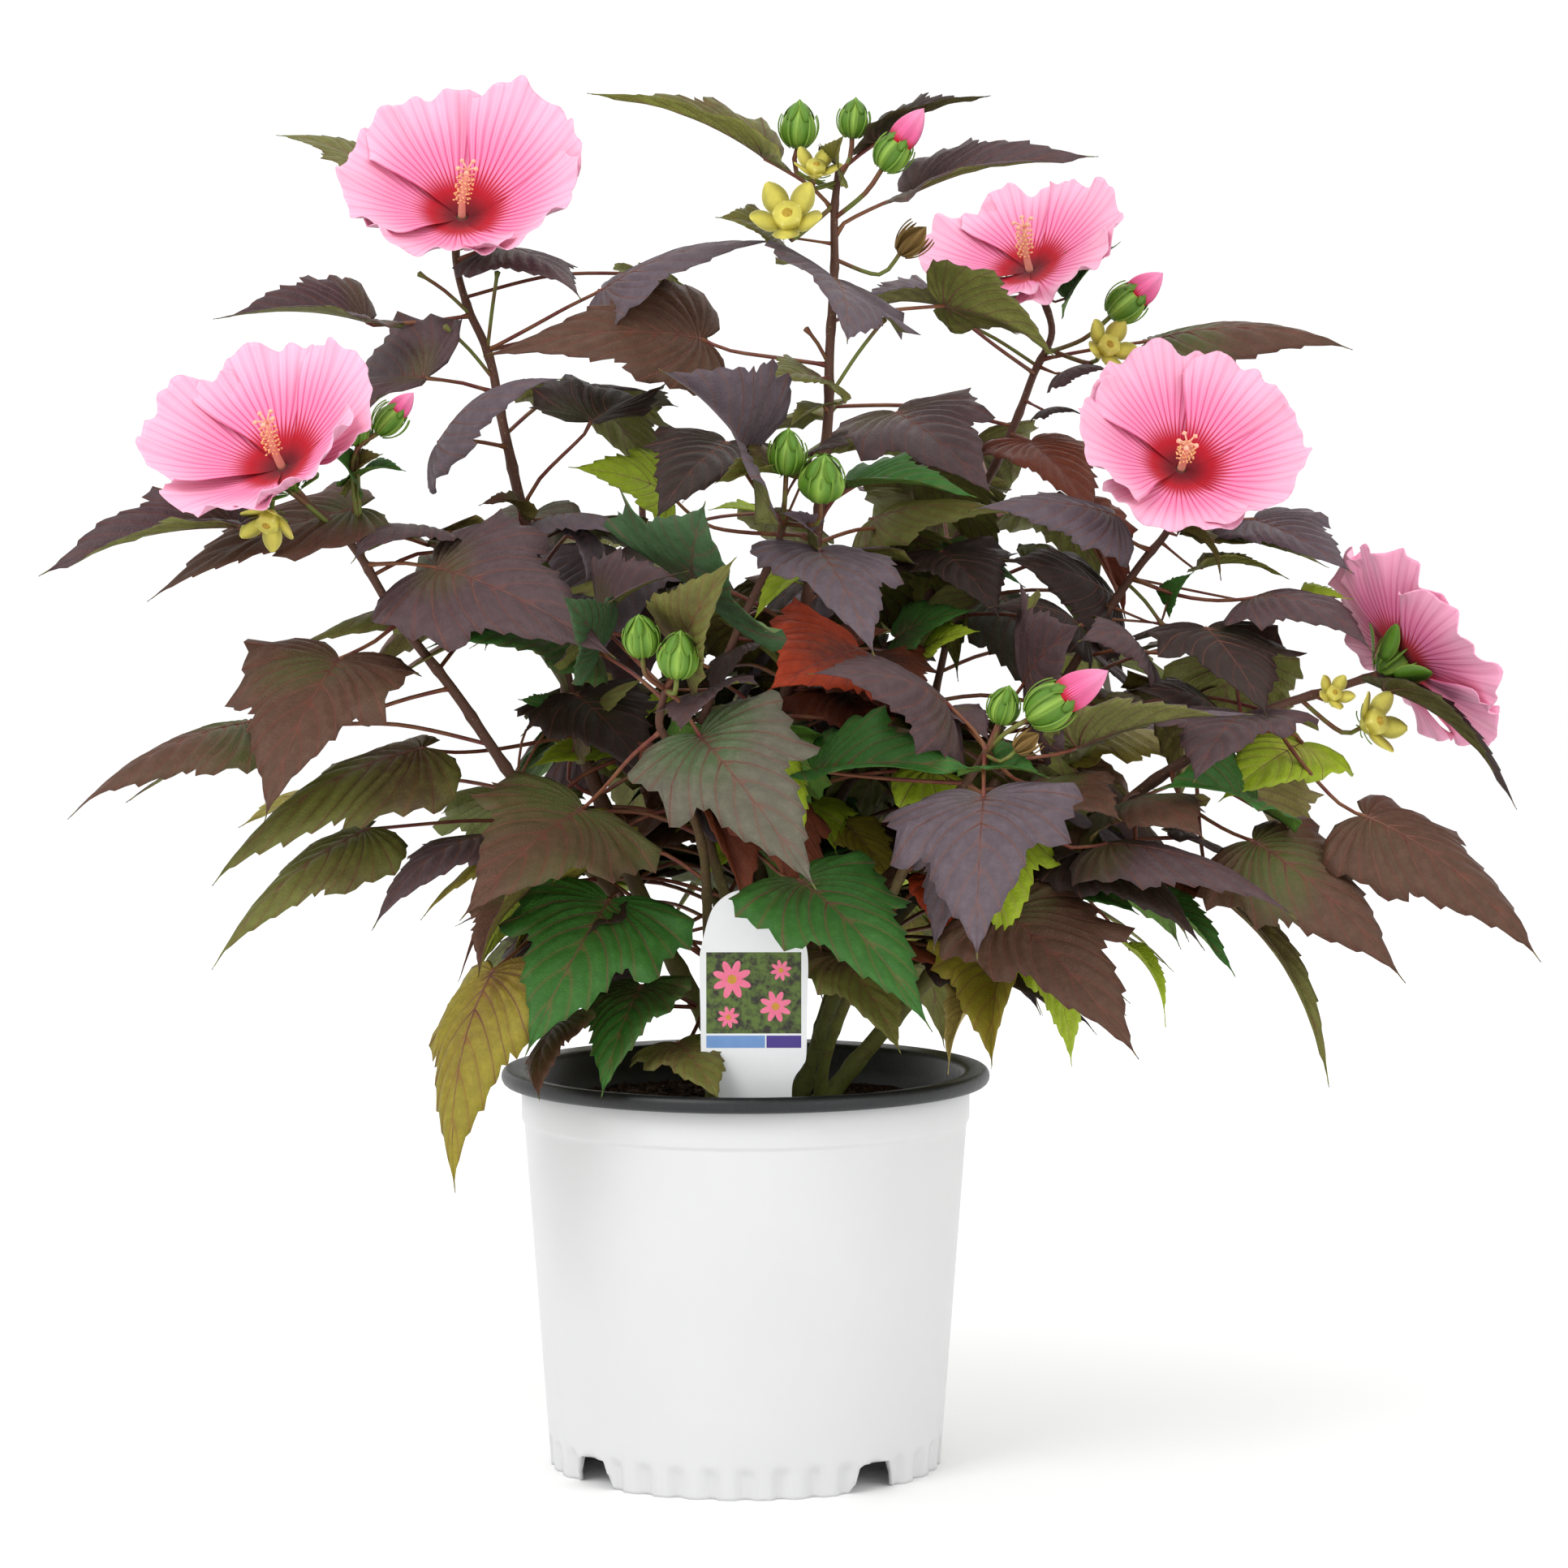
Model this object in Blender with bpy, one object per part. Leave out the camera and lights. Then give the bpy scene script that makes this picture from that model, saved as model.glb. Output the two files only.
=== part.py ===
"""A rose mallow in a nursery pot, as named solids: pot, liner, potting mix, label, stems, leaf masses and blooms.

Metres, +Z up, front towards -Y. The origin is the middle of the pot's underside.
Stems, masses and blooms are set out at the height and width where the photograph shows them, each at its own
depth, through the camera that was fitted to the pot's rim and foot.
"""

import math

import bmesh
import bpy
from mathutils import Matrix, Vector

for old in list(bpy.data.objects):
    bpy.data.objects.remove(old, do_unlink=True)

# Clearance between neighbouring solids
GAP = 0.0003

# Pot: a number 3 nursery can
POT_HEIGHT = 0.228
RIM_RADIUS = 0.140
RIM_HEIGHT = 0.0092
WALL_TOP_RADIUS = 0.1270
COLLAR_RADIUS = 0.1285
COLLAR_BOTTOM = 0.198
WALL_TOP = POT_HEIGHT - RIM_HEIGHT - GAP
FOOT_RADIUS = 0.1122
WALL_THICKNESS = 0.0022
FLOOR_THICKNESS = 0.0030
LINER_THICKNESS = 0.0016
ROUND_STEPS = 28
NOTCH_HEIGHT = 0.016
NOTCH_FOOT_WIDTH = 0.033
NOTCH_TOP_WIDTH = 0.018
NOTCH_DEPTH = 0.016
NOTCH_BEARINGS = (-50.0, 40.0, 130.0, 220.0)

# Potting mix, whose surface lies below the rim
SOIL_TOP = 0.2080
SOIL_EDGE = 0.2050
SOIL_FLAT_RADIUS = 0.085

# Label: a plastic stake that stands in the mix at the front
LABEL_THICKNESS = 0.0011
LABEL_Y = -0.1010
LABEL_X = 0.0045
LABEL_FOOT = 0.184
LABEL_OUTLINE = (
    (0.0205, 0.184),
    (0.0215, 0.232),
    (0.0290, 0.246),
    (0.0300, 0.298),
    (0.0245, 0.324),
    (0.0150, 0.335),
)
LABEL_TOP = 0.3395

# Camera fitted to the pot: distance from the pot's axis, height, tilt down, turn to the right and focal length
CAMERA_DISTANCE = 2.6956
CAMERA_HEIGHT = 0.5662
CAMERA_TILT = math.radians(3.732)
CAMERA_TURN = math.radians(0.468)
FOCAL_PIXELS = 5822.4
MIDDLE_PIXEL = 966.0

# Stems: name, radius at the foot and at the tip (mm), then points of the photograph with their depth (mm, + is away)
STEMS = (
    ("stem_west", 5.6, 2.0, (
        (900, 1352, 0), (872, 1262, -2), (806, 1140, 0), (742, 990, 8), (706, 882, 14), (690, 800, 20),
        (650, 655, 30), (618, 515, 42), (603, 440, 52), (575, 375, 64), (562, 322, 76), (565, 289, 80))),
    ("bough_west_low", 4.0, 2.0, (
        (818, 1160, 0), (765, 1110, -10), (698, 1040, -25), (632, 958, -38), (562, 855, -50), (492, 765, -60),
        (447, 690, -68), (414, 650, -74), (354, 601, -83))),
    ("stem_front_west", 3.4, 2.0, (
        (878, 1354, -34), (873, 1200, -50), (868, 1060, -76), (846, 985, -102), (822, 915, -132), (812, 890, -142),
        (820, 850, -154))),
    ("stem_inner_west", 4.0, 1.9, (
        (925, 1354, -22), (912, 1190, -22), (899, 1121, -24), (866, 1019, -30), (848, 955, -36), (872, 870, -44),
        (912, 770, -52), (950, 690, -58), (966, 645, -60))),
    ("stem_centre", 5.4, 2.0, (
        (944, 1354, 14), (937, 1110, 12), (946, 1000, 8), (968, 860, 0), (990, 760, -6), (1006, 660, -12),
        (1020, 520, -18), (1022, 440, -20), (1028, 330, -22), (1028, 262, -23), (1033, 212, -24))),
    ("stem_inner_east", 4.6, 2.0, (
        (968, 1353, 38), (980, 1180, 62), (1006, 1052, 80), (1032, 990, 90), (1092, 850, 108), (1166, 690, 122),
        (1240, 545, 134), (1274, 460, 140), (1296, 410, 142), (1283, 364, 139))),
    ("stem_front_east", 3.5, 2.2, (
        (1008, 1354, -28), (1018, 1300, -40), (1042, 1235, -52), (1066, 1180, -62), (1104, 1092, -78),
        (1136, 1030, -96), (1190, 965, -116), (1216, 925, -130))),
    ("stem_east_upright", 4.4, 2.0, (
        (982, 1353, 16), (1010, 1280, 16), (1036, 1216, 18), (1100, 1138, 22), (1152, 1076, 28), (1230, 960, 38),
        (1300, 856, 44), (1354, 770, 46), (1402, 700, 44), (1438, 655, 46), (1456, 612, 53))),
    ("stem_east_low", 5.2, 2.2, (
        (1012, 1353, -4), (1090, 1268, -8), (1195, 1152, -14), (1312, 1056, -20), (1405, 975, -24), (1480, 925, -26),
        (1560, 876, -24), (1640, 850, -14), (1697, 831, -5))),
    ("stem_back_west", 3.8, 2.0, (
        (930, 1350, 44), (905, 1200, 80), (868, 1040, 122), (826, 860, 166), (796, 690, 200), (790, 580, 214))),
    ("stem_back_east", 3.8, 2.0, (
        (990, 1350, 56), (1030, 1200, 96), (1086, 1050, 142), (1140, 900, 184), (1172, 760, 214), (1180, 700, 222))),
)
STEM_SIDES = 6
STEM_STEP = 0.030

# Leaf masses: name, middle of the mass in the photograph, depth (mm), half width, half depth and half height (mm),
# turn in the picture's plane (degrees). Each is cut round the stems, the label, and the blooms and masses before it
MASSES = (
    ("leaves_west_tip", 232, 668, -84, 88, 44, 18, 12),
    ("leaves_west_bough", 556, 726, -76, 62, 56, 32, 8),
    ("leaves_west_low", 312, 880, -70, 110, 54, 27, -22),
    ("leaves_west_hanging", 412, 1028, -34, 97, 46, 34, -42),
    ("leaves_west_inner", 640, 1046, -62, 84, 64, 29, -18),
    ("leaves_southwest", 618, 1290, -122, 88, 32, 29, 70),
    ("leaves_front_west", 744, 1180, -62, 54, 66, 43, 30),
    ("leaves_pot_west", 820, 1292, -78, 38, 42, 24, 0),
    ("leaves_high_west", 428, 372, 52, 76, 40, 18, -4),
    ("leaves_under_west_bloom", 560, 494, 20, 62, 56, 24, -18),
    ("leaves_high_inner_west", 744, 408, 42, 76, 56, 26, 4),
    ("leaves_upper_centre", 868, 312, -10, 80, 46, 16, -2),
    ("leaves_centre_crown", 1046, 372, -34, 52, 60, 24, 4),
    ("leaves_top_west", 880, 158, -14, 76, 36, 16, 20),
    ("leaves_top_buds", 1014, 190, -26, 30, 28, 34, 0),
    ("leaves_top_east", 1140, 188, -12, 54, 40, 18, -12),
    ("leaves_inner_west", 742, 556, -6, 50, 62, 34, 0),
    ("leaves_centre_west", 896, 552, -62, 56, 72, 41, -20),
    ("leaves_middle", 846, 712, -112, 56, 74, 37, 6),
    ("leaves_middle_dark", 752, 884, -10, 38, 58, 39, 0),
    ("leaves_middle_low", 896, 956, -160, 50, 46, 48, -30),
    ("leaves_heart", 1064, 712, -52, 46, 66, 39, 0),
    ("leaves_red", 1068, 866, -38, 84, 72, 34, 0),
    ("leaves_front_centre", 1044, 1146, -128, 52, 54, 44, -38),
    ("leaves_front_east", 1212, 1050, -150, 48, 50, 45, 0),
    ("leaves_rust", 1214, 1216, -62, 46, 52, 41, 0),
    ("leaves_southeast", 1330, 1162, -112, 54, 62, 37, -42),
    ("leaves_east_mid", 1420, 1042, -66, 64, 64, 34, -18),
    ("leaves_east_tip", 1696, 1086, -66, 96, 50, 34, -14),
    ("leaves_east_shelf", 1510, 896, -40, 58, 62, 27, 0),
    ("leaves_east_high", 1548, 764, 4, 54, 60, 41, 0),
    ("leaves_east_end", 1744, 876, -40, 84, 26, 16, -48),
    ("leaves_under_east_bloom", 1582, 664, 50, 62, 52, 24, -20),
    ("leaves_orange", 1296, 620, 80, 50, 70, 44, -10),
    ("leaves_east_centre", 1150, 534, 90, 56, 66, 29, -10),
    ("leaves_high_east", 1470, 398, 140, 92, 50, 24, -6),
    ("leaves_east_middle", 1282, 762, -14, 62, 70, 32, 0),
    ("leaves_back_west", 770, 640, 204, 112, 92, 44, 0),
    ("leaves_back_east", 1190, 742, 222, 116, 92, 46, 0),
    ("leaves_back_low", 1010, 1010, 186, 128, 88, 44, 0),
)
MASS_ROUND = 10
MASS_RINGS = 4

# Blooms: name, middle of the disc in the photograph, depth (mm), radius and depth of the cup (mm), the way it faces
BLOOMS = (
    ("bloom_west_high", 567, 212, 40, 69, 36, (0.02, -0.74, 0.67)),
    ("bloom_west_low", 316, 520, -118, 65, 36, (-0.32, -0.66, 0.68)),
    ("bloom_east_high", 1258, 300, 118, 60, 20, (-0.30, -0.56, 0.77)),
    ("bloom_east_centre", 1469, 534, 6, 64, 36, (0.10, -0.82, 0.56)),
    ("bloom_east_end", 1748, 797, 4, 69, 14, (0.80, 0.30, 0.52)),
)
BLOOM_ROUND = 15
BLOOM_RINGS = 3
BLOOM_THICKNESS = 0.004
BLOOM_BACK = 0.016


def seen(px, py, depth_mm):
    """The point that the photograph shows at pixel (px, py), at this depth in millimetres behind the pot's axis."""
    forward = Vector((
        math.sin(CAMERA_TURN) * math.cos(CAMERA_TILT),
        math.cos(CAMERA_TURN) * math.cos(CAMERA_TILT),
        -math.sin(CAMERA_TILT),
    ))
    right = Vector((math.cos(CAMERA_TURN), -math.sin(CAMERA_TURN), 0.0))
    up = right.cross(forward)
    ray = (
        forward
        + right * ((px - MIDDLE_PIXEL) / FOCAL_PIXELS)
        + up * ((MIDDLE_PIXEL - py) / FOCAL_PIXELS)
    )
    camera = Vector((0.0, -CAMERA_DISTANCE, CAMERA_HEIGHT))
    return camera + ray * ((depth_mm / 1000.0 + CAMERA_DISTANCE) / ray.y)


def material(name, colour):
    """A plain material of this linear colour."""
    made = bpy.data.materials.new(name)
    made.diffuse_color = (*colour, 1.0)
    return made


def solid(name, points, faces, colour, cutter=False):
    """A mesh object of these points and faces, with its faces turned outwards. A cutter isn't rendered."""
    mesh = bpy.data.meshes.new(name)
    mesh.from_pydata([tuple(p) for p in points], [], faces)
    body = bmesh.new()
    body.from_mesh(mesh)
    bmesh.ops.recalc_face_normals(body, faces=body.faces)
    body.to_mesh(mesh)
    body.free()
    mesh.materials.append(material(name, colour))
    made = bpy.data.objects.new(name, mesh)
    bpy.context.scene.collection.objects.link(made)
    if cutter:
        made.hide_render = True
        made.display_type = "WIRE"
    return made


def turned(name, profile, colour, steps=ROUND_STEPS):
    """A body of revolution about +Z from a closed profile of (radius, height); a radius of 0 is a pole."""
    points = []
    rings = []
    for radius, height in profile:
        if radius == 0.0:
            rings.append([len(points)] * steps)
            points.append((0.0, 0.0, height))
            continue
        rings.append([len(points) + k for k in range(steps)])
        for k in range(steps):
            angle = 2.0 * math.pi * k / steps
            points.append((radius * math.cos(angle), radius * math.sin(angle), height))
    faces = []
    count = len(rings)
    for row in range(count):
        first, second = rings[row], rings[(row + 1) % count]
        if first[0] == first[1] and second[0] == second[1]:
            continue
        for k in range(steps):
            n = (k + 1) % steps
            corners = [first[k], first[n], second[n], second[k]]
            faces.append(list(dict.fromkeys(corners)))
    return solid(name, points, faces, colour)


def cut(target, cutter):
    """Takes the cutter's volume away from the target with an exact Boolean."""
    step = target.modifiers.new("cut_" + cutter.name, "BOOLEAN")
    step.operation = "DIFFERENCE"
    step.solver = "EXACT"
    step.object = cutter


def wall_radius(height):
    """The outer radius of the pot's wall at this height."""
    return FOOT_RADIUS + (WALL_TOP_RADIUS - FOOT_RADIUS) * height / COLLAR_BOTTOM


def pot():
    """The white wall with its collar, floor and four drain notches, cut through wall and floor at the foot."""
    inner = -WALL_THICKNESS
    wall = turned("pot_wall", (
        (0.0, 0.0),
        (FOOT_RADIUS - 0.001, 0.0),
        (FOOT_RADIUS, 0.001),
        (WALL_TOP_RADIUS, COLLAR_BOTTOM),
        (COLLAR_RADIUS, COLLAR_BOTTOM + 0.0015),
        (COLLAR_RADIUS, WALL_TOP),
        (WALL_TOP_RADIUS + inner, WALL_TOP),
        (WALL_TOP_RADIUS + inner, COLLAR_BOTTOM),
        (wall_radius(FLOOR_THICKNESS) + inner, FLOOR_THICKNESS),
        (0.0, FLOOR_THICKNESS),
    ), (0.85, 0.86, 0.87))
    for number, bearing in enumerate(NOTCH_BEARINGS):
        outer = FOOT_RADIUS + 0.01
        near = FOOT_RADIUS - NOTCH_DEPTH
        low, high = -0.005, NOTCH_HEIGHT
        half_low = NOTCH_FOOT_WIDTH / 2.0
        half_high = NOTCH_TOP_WIDTH / 2.0
        block = []
        for reach in (near, outer):
            for half, level in ((half_low, low), (half_high, high)):
                for side in (-1.0, 1.0):
                    block.append(Vector((side * half, -reach, level)))
        turn = Matrix.Rotation(math.radians(bearing), 3, "Z")
        faces = [(0, 1, 3, 2), (4, 5, 7, 6), (0, 1, 5, 4), (2, 3, 7, 6), (0, 2, 6, 4), (1, 3, 7, 5)]
        notch = solid(f"notch_{number}", [turn @ p for p in block], faces, (0.5, 0.5, 0.5), cutter=True)
        cut(wall, notch)
    return wall


def liner_radius(height):
    """The outer radius of the black liner at this height, just inside the wall."""
    return wall_radius(height) - WALL_THICKNESS - GAP


def liner():
    """The black inner skin: floor, wall with an inner ledge, and the rolled rim that laps over the white wall."""
    low = FLOOR_THICKNESS + GAP
    top_radius = WALL_TOP_RADIUS - WALL_THICKNESS - GAP
    under_lip = WALL_TOP + GAP
    return turned("pot_rim_liner", (
        (0.0, low),
        (liner_radius(low) - 0.0003, low),
        (top_radius, COLLAR_BOTTOM),
        (top_radius, under_lip),
        (RIM_RADIUS - 0.0012, under_lip),
        (RIM_RADIUS, under_lip + 0.0016),
        (RIM_RADIUS, POT_HEIGHT - 0.0020),
        (RIM_RADIUS - 0.0020, POT_HEIGHT),
        (top_radius + 0.0015, POT_HEIGHT),
        (top_radius - 0.0010, POT_HEIGHT - 0.0030),
        (top_radius - LINER_THICKNESS, COLLAR_BOTTOM + 0.016),
        (top_radius - LINER_THICKNESS, COLLAR_BOTTOM),
        (liner_radius(low) - LINER_THICKNESS, low + LINER_THICKNESS),
        (0.0, low + LINER_THICKNESS),
    ), (0.02, 0.02, 0.022))


def soil():
    """The root ball of bark mix, flat where the stems stand and a little lower at its edge."""
    low = FLOOR_THICKNESS + 2 * GAP + LINER_THICKNESS
    foot = liner_radius(low) - LINER_THICKNESS - GAP - 0.0004
    share = (SOIL_EDGE - COLLAR_BOTTOM) / 0.02
    edge = WALL_TOP_RADIUS - WALL_THICKNESS - LINER_THICKNESS - 3 * GAP - 0.0003 * share
    ball = turned("potting_mix", (
        (0.0, low),
        (foot, low),
        (edge, COLLAR_BOTTOM - 0.001),
        (edge, SOIL_EDGE),
        (SOIL_FLAT_RADIUS, SOIL_TOP),
        (0.0, SOIL_TOP),
    ), (0.06, 0.04, 0.03), steps=ROUND_STEPS)
    half_wide = LABEL_OUTLINE[1][0] + GAP
    half_thick = LABEL_THICKNESS / 2.0 + GAP
    slot = []
    for x in (-half_wide, half_wide):
        for y in (-half_thick, half_thick):
            for z in (LABEL_FOOT - GAP, POT_HEIGHT):
                slot.append((LABEL_X + x, LABEL_Y + y, z))
    faces = [(0, 1, 3, 2), (4, 5, 7, 6), (0, 1, 5, 4), (2, 3, 7, 6), (0, 2, 6, 4), (1, 3, 7, 5)]
    cut(ball, solid("label_slot", slot, faces, (0.5, 0.5, 0.5), cutter=True))
    return ball


def label(name="label_stake", extra=0.0, cutter=False):
    """The flat stake: its half outline mirrored, with a rounded top, as a plate of even thickness."""
    half = [Vector((x + extra, z)) for x, z in LABEL_OUTLINE] + [Vector((0.006, LABEL_TOP - 0.0006 + extra))]
    ring = [(x, z) for x, z in half] + [(-x, z) for x, z in reversed(half)]
    count = len(ring)
    points = []
    for y in (-LABEL_THICKNESS / 2.0 - extra, LABEL_THICKNESS / 2.0 + extra):
        points += [(LABEL_X + x, LABEL_Y + y, z) for x, z in ring]
    faces = [list(range(count)), list(range(2 * count - 1, count - 1, -1))]
    faces += [[k, (k + 1) % count, count + (k + 1) % count, count + k] for k in range(count)]
    return solid(name, points, faces, (0.85, 0.85, 0.85), cutter=cutter)


def smooth_path(points, step):
    """Points along a Catmull-Rom curve through these, about one step apart."""
    path = [points[0]]
    for k in range(len(points) - 1):
        before = points[max(k - 1, 0)]
        start, end = points[k], points[k + 1]
        after = points[min(k + 2, len(points) - 1)]
        parts = max(1, round((end - start).length / step))
        for n in range(1, parts + 1):
            t = n / parts
            path.append(0.5 * (
                2.0 * start
                + (end - before) * t
                + (2.0 * before - 5.0 * start + 4.0 * end - after) * t * t
                + (3.0 * start - before - 3.0 * end + after) * t ** 3
            ))
    return path


def limb(name, path, foot_radius, tip_radius, colour, extra=0.0, cutter=False, level_foot=True):
    """A tapering tube along the path; `extra` widens and lengthens it into the cutter for its neighbours."""
    path = [p.copy() for p in path]
    if extra:
        path[0] += (path[0] - path[1]).normalized() * extra
        path[-1] += (path[-1] - path[-2]).normalized() * extra
    lengths = [0.0]
    for first, second in zip(path, path[1:]):
        lengths.append(lengths[-1] + (second - first).length)
    points = []
    side = Vector((1.0, 0.0, 0.0))
    for k, centre in enumerate(path):
        along = (path[min(k + 1, len(path) - 1)] - path[max(k - 1, 0)]).normalized()
        if k == 0 and level_foot:
            along = Vector((0.0, 0.0, 1.0))
        side = (side - along * side.dot(along)).normalized()
        other = along.cross(side)
        share = lengths[k] / lengths[-1]
        radius = foot_radius + (tip_radius - foot_radius) * share + extra
        for n in range(STEM_SIDES):
            angle = 2.0 * math.pi * n / STEM_SIDES
            points.append(centre + (side * math.cos(angle) + other * math.sin(angle)) * radius)
    faces = [list(range(STEM_SIDES)), [len(points) - 1 - n for n in range(STEM_SIDES)]]
    for row in range(len(path) - 1):
        for n in range(STEM_SIDES):
            a, b = row * STEM_SIDES + n, row * STEM_SIDES + (n + 1) % STEM_SIDES
            faces.append([a, b, b + STEM_SIDES, a + STEM_SIDES])
    return solid(name, points, faces, colour, cutter=cutter)


def mass_points(number, px, py, depth, wide, deep, high, turn, extra=0.0):
    """An uneven pad: an ellipsoid whose radius swells and shrinks in lobes, tilted in the picture's plane."""
    middle = seen(px, py, depth)
    tilt = Matrix.Rotation(-math.radians(turn), 3, "Y")
    phase = 1.7 * number
    rings = []
    points = [None]
    for ring in range(1, MASS_RINGS + 1):
        polar = math.pi * ring / (MASS_RINGS + 1)
        row = []
        for k in range(MASS_ROUND):
            angle = 2.0 * math.pi * (k + 0.5 * (ring % 2)) / MASS_ROUND
            swell = (
                1.0
                + 0.11 * math.sin(2.0 * angle + phase)
                + 0.10 * math.sin(3.0 * angle - 2.3 * phase + polar)
                + 0.06 * math.cos(5.0 * angle + phase * 0.7)
            )
            rise = 0.16 * math.sin(2.0 * angle + 1.9 * phase)
            flat = math.sin(polar) * swell
            local = Vector((
                (wide / 1000.0 + extra) * flat * math.cos(angle),
                (deep / 1000.0 + extra) * flat * math.sin(angle),
                (high / 1000.0 + extra) * (math.cos(polar) + rise * math.sin(polar)),
            ))
            row.append(len(points))
            points.append(middle + tilt @ local)
        rings.append(row)
    for sign, place in ((1.0, 0), (-1.0, None)):
        pole = middle + tilt @ Vector((0.0, 0.0, sign * (high / 1000.0 + extra)))
        if place == 0:
            points[0] = pole
        else:
            points.append(pole)
    faces = []
    last = len(points) - 1
    for k in range(MASS_ROUND):
        n = (k + 1) % MASS_ROUND
        faces.append([0, rings[0][k], rings[0][n]])
        faces.append([last, rings[-1][n], rings[-1][k]])
        for ring in range(len(rings) - 1):
            a, b = rings[ring][k], rings[ring][n]
            c, d = rings[ring + 1][n], rings[ring + 1][k]
            faces.append([a, d, c])
            faces.append([a, c, b])
    return points, faces


def bloom(name, px, py, depth, radius, cup, facing, extra=0.0, cutter=False):
    """A shallow five-lobed cup: petals' face, petals' back and a short calyx cone, as one closed body."""
    axis = Vector(facing).normalized()
    middle = seen(px, py, depth)
    side = axis.cross(Vector((0.0, 0.0, 1.0))).normalized()
    other = side.cross(axis)
    size = radius / 1000.0 + extra
    cup = cup / 1000.0
    points = []
    rings = []
    for layer, thickness in ((1.0, extra), (-1.0, BLOOM_THICKNESS + extra)):
        sheet = []
        for ring in range(1, BLOOM_RINGS + 1):
            share = ring / BLOOM_RINGS
            row = []
            for k in range(BLOOM_ROUND):
                angle = 2.0 * math.pi * k / BLOOM_ROUND
                reach = size * share * (1.0 + 0.035 * share * math.cos(5.0 * angle))
                lift = cup * (share ** 1.5 - 1.0)
                if layer < 0.0:
                    lift -= thickness + BLOOM_BACK * max(0.0, 1.0 - share * 1.4)
                    reach *= 0.985
                else:
                    lift += thickness
                row.append(len(points))
                points.append(middle + axis * lift + (side * math.cos(angle) + other * math.sin(angle)) * reach)
            sheet.append(row)
        rings.append(sheet)
    front_pole = len(points)
    points.append(middle + axis * (extra - cup))
    back_pole = len(points)
    points.append(middle - axis * (cup + BLOOM_THICKNESS + BLOOM_BACK + extra))
    faces = []
    for k in range(BLOOM_ROUND):
        n = (k + 1) % BLOOM_ROUND
        faces.append([front_pole, rings[0][0][k], rings[0][0][n]])
        faces.append([back_pole, rings[1][0][n], rings[1][0][k]])
        for sheet in rings:
            for ring in range(BLOOM_RINGS - 1):
                faces.append([sheet[ring][k], sheet[ring + 1][k], sheet[ring + 1][n], sheet[ring][n]])
        faces.append([rings[0][-1][k], rings[1][-1][k], rings[1][-1][n], rings[0][-1][n]])
    return solid(name, points, faces, (0.85, 0.40, 0.55), cutter=cutter)


def near(first, second):
    """Whether two objects' boxes meet."""
    a = [first.matrix_world @ Vector(c) for c in first.bound_box]
    b = [second.matrix_world @ Vector(c) for c in second.bound_box]
    for axis in range(3):
        if min(p[axis] for p in a) > max(p[axis] for p in b):
            return False
        if min(p[axis] for p in b) > max(p[axis] for p in a):
            return False
    return True


def build():
    """Makes every solid, then cuts each mass and bloom round the stems, blooms and masses it meets."""
    pot()
    liner()
    soil()
    label()
    label_room = label("room_label", extra=GAP, cutter=True)
    limb_colour = (0.16, 0.10, 0.07)
    limbs = {}
    cutters = {}
    for name, foot, tip, marks in STEMS:
        marks = [seen(*mark) for mark in marks]
        on_soil = not name.startswith("bough")
        if on_soil:
            marks[0].z = SOIL_TOP + GAP
        path = smooth_path(marks, STEM_STEP)
        limbs[name] = limb(name, path, foot / 1000.0, tip / 1000.0, limb_colour, level_foot=on_soil)
        cutters[name] = limb(
            "room_" + name, path, foot / 1000.0, tip / 1000.0, limb_colour, extra=GAP, cutter=True,
            level_foot=on_soil,
        )
    bpy.context.view_layer.update()
    cut(limbs["bough_west_low"], cutters["stem_west"])
    placed = []
    for name, *shape in BLOOMS:
        made = bloom(name, *shape)
        room = bloom("room_" + name, *shape, extra=GAP, cutter=True)
        bpy.context.view_layer.update()
        for stem in cutters.values():
            if near(made, stem):
                cut(made, stem)
        placed.append((made, room))
    for number, (name, *shape) in enumerate(MASSES):
        points, faces = mass_points(number, *shape)
        made = solid(name, points, faces, (0.12, 0.16, 0.07))
        points, faces = mass_points(number, *shape, extra=GAP)
        room = solid("room_" + name, points, faces, (0.12, 0.16, 0.07), cutter=True)
        bpy.context.view_layer.update()
        for stem in cutters.values():
            if near(made, stem):
                cut(made, stem)
        if near(made, label_room):
            cut(made, label_room)
        for earlier, earlier_room in placed:
            if near(made, earlier):
                cut(made, earlier_room)
        placed.append((made, room))


build()
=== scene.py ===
"""The looks of a potted rose mallow: leaves, stems, blooms, buds, pot and label, placed around its solids.

Metres, +Z up, front towards -Y. What the photograph shows is set out at its pixel and depth through the
fitted camera, and each leaf, bud and bloom is carried by a stalk that grows from one of the stems.
"""

import math

import bpy
import numpy as np
from mathutils import Matrix, Vector


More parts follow.
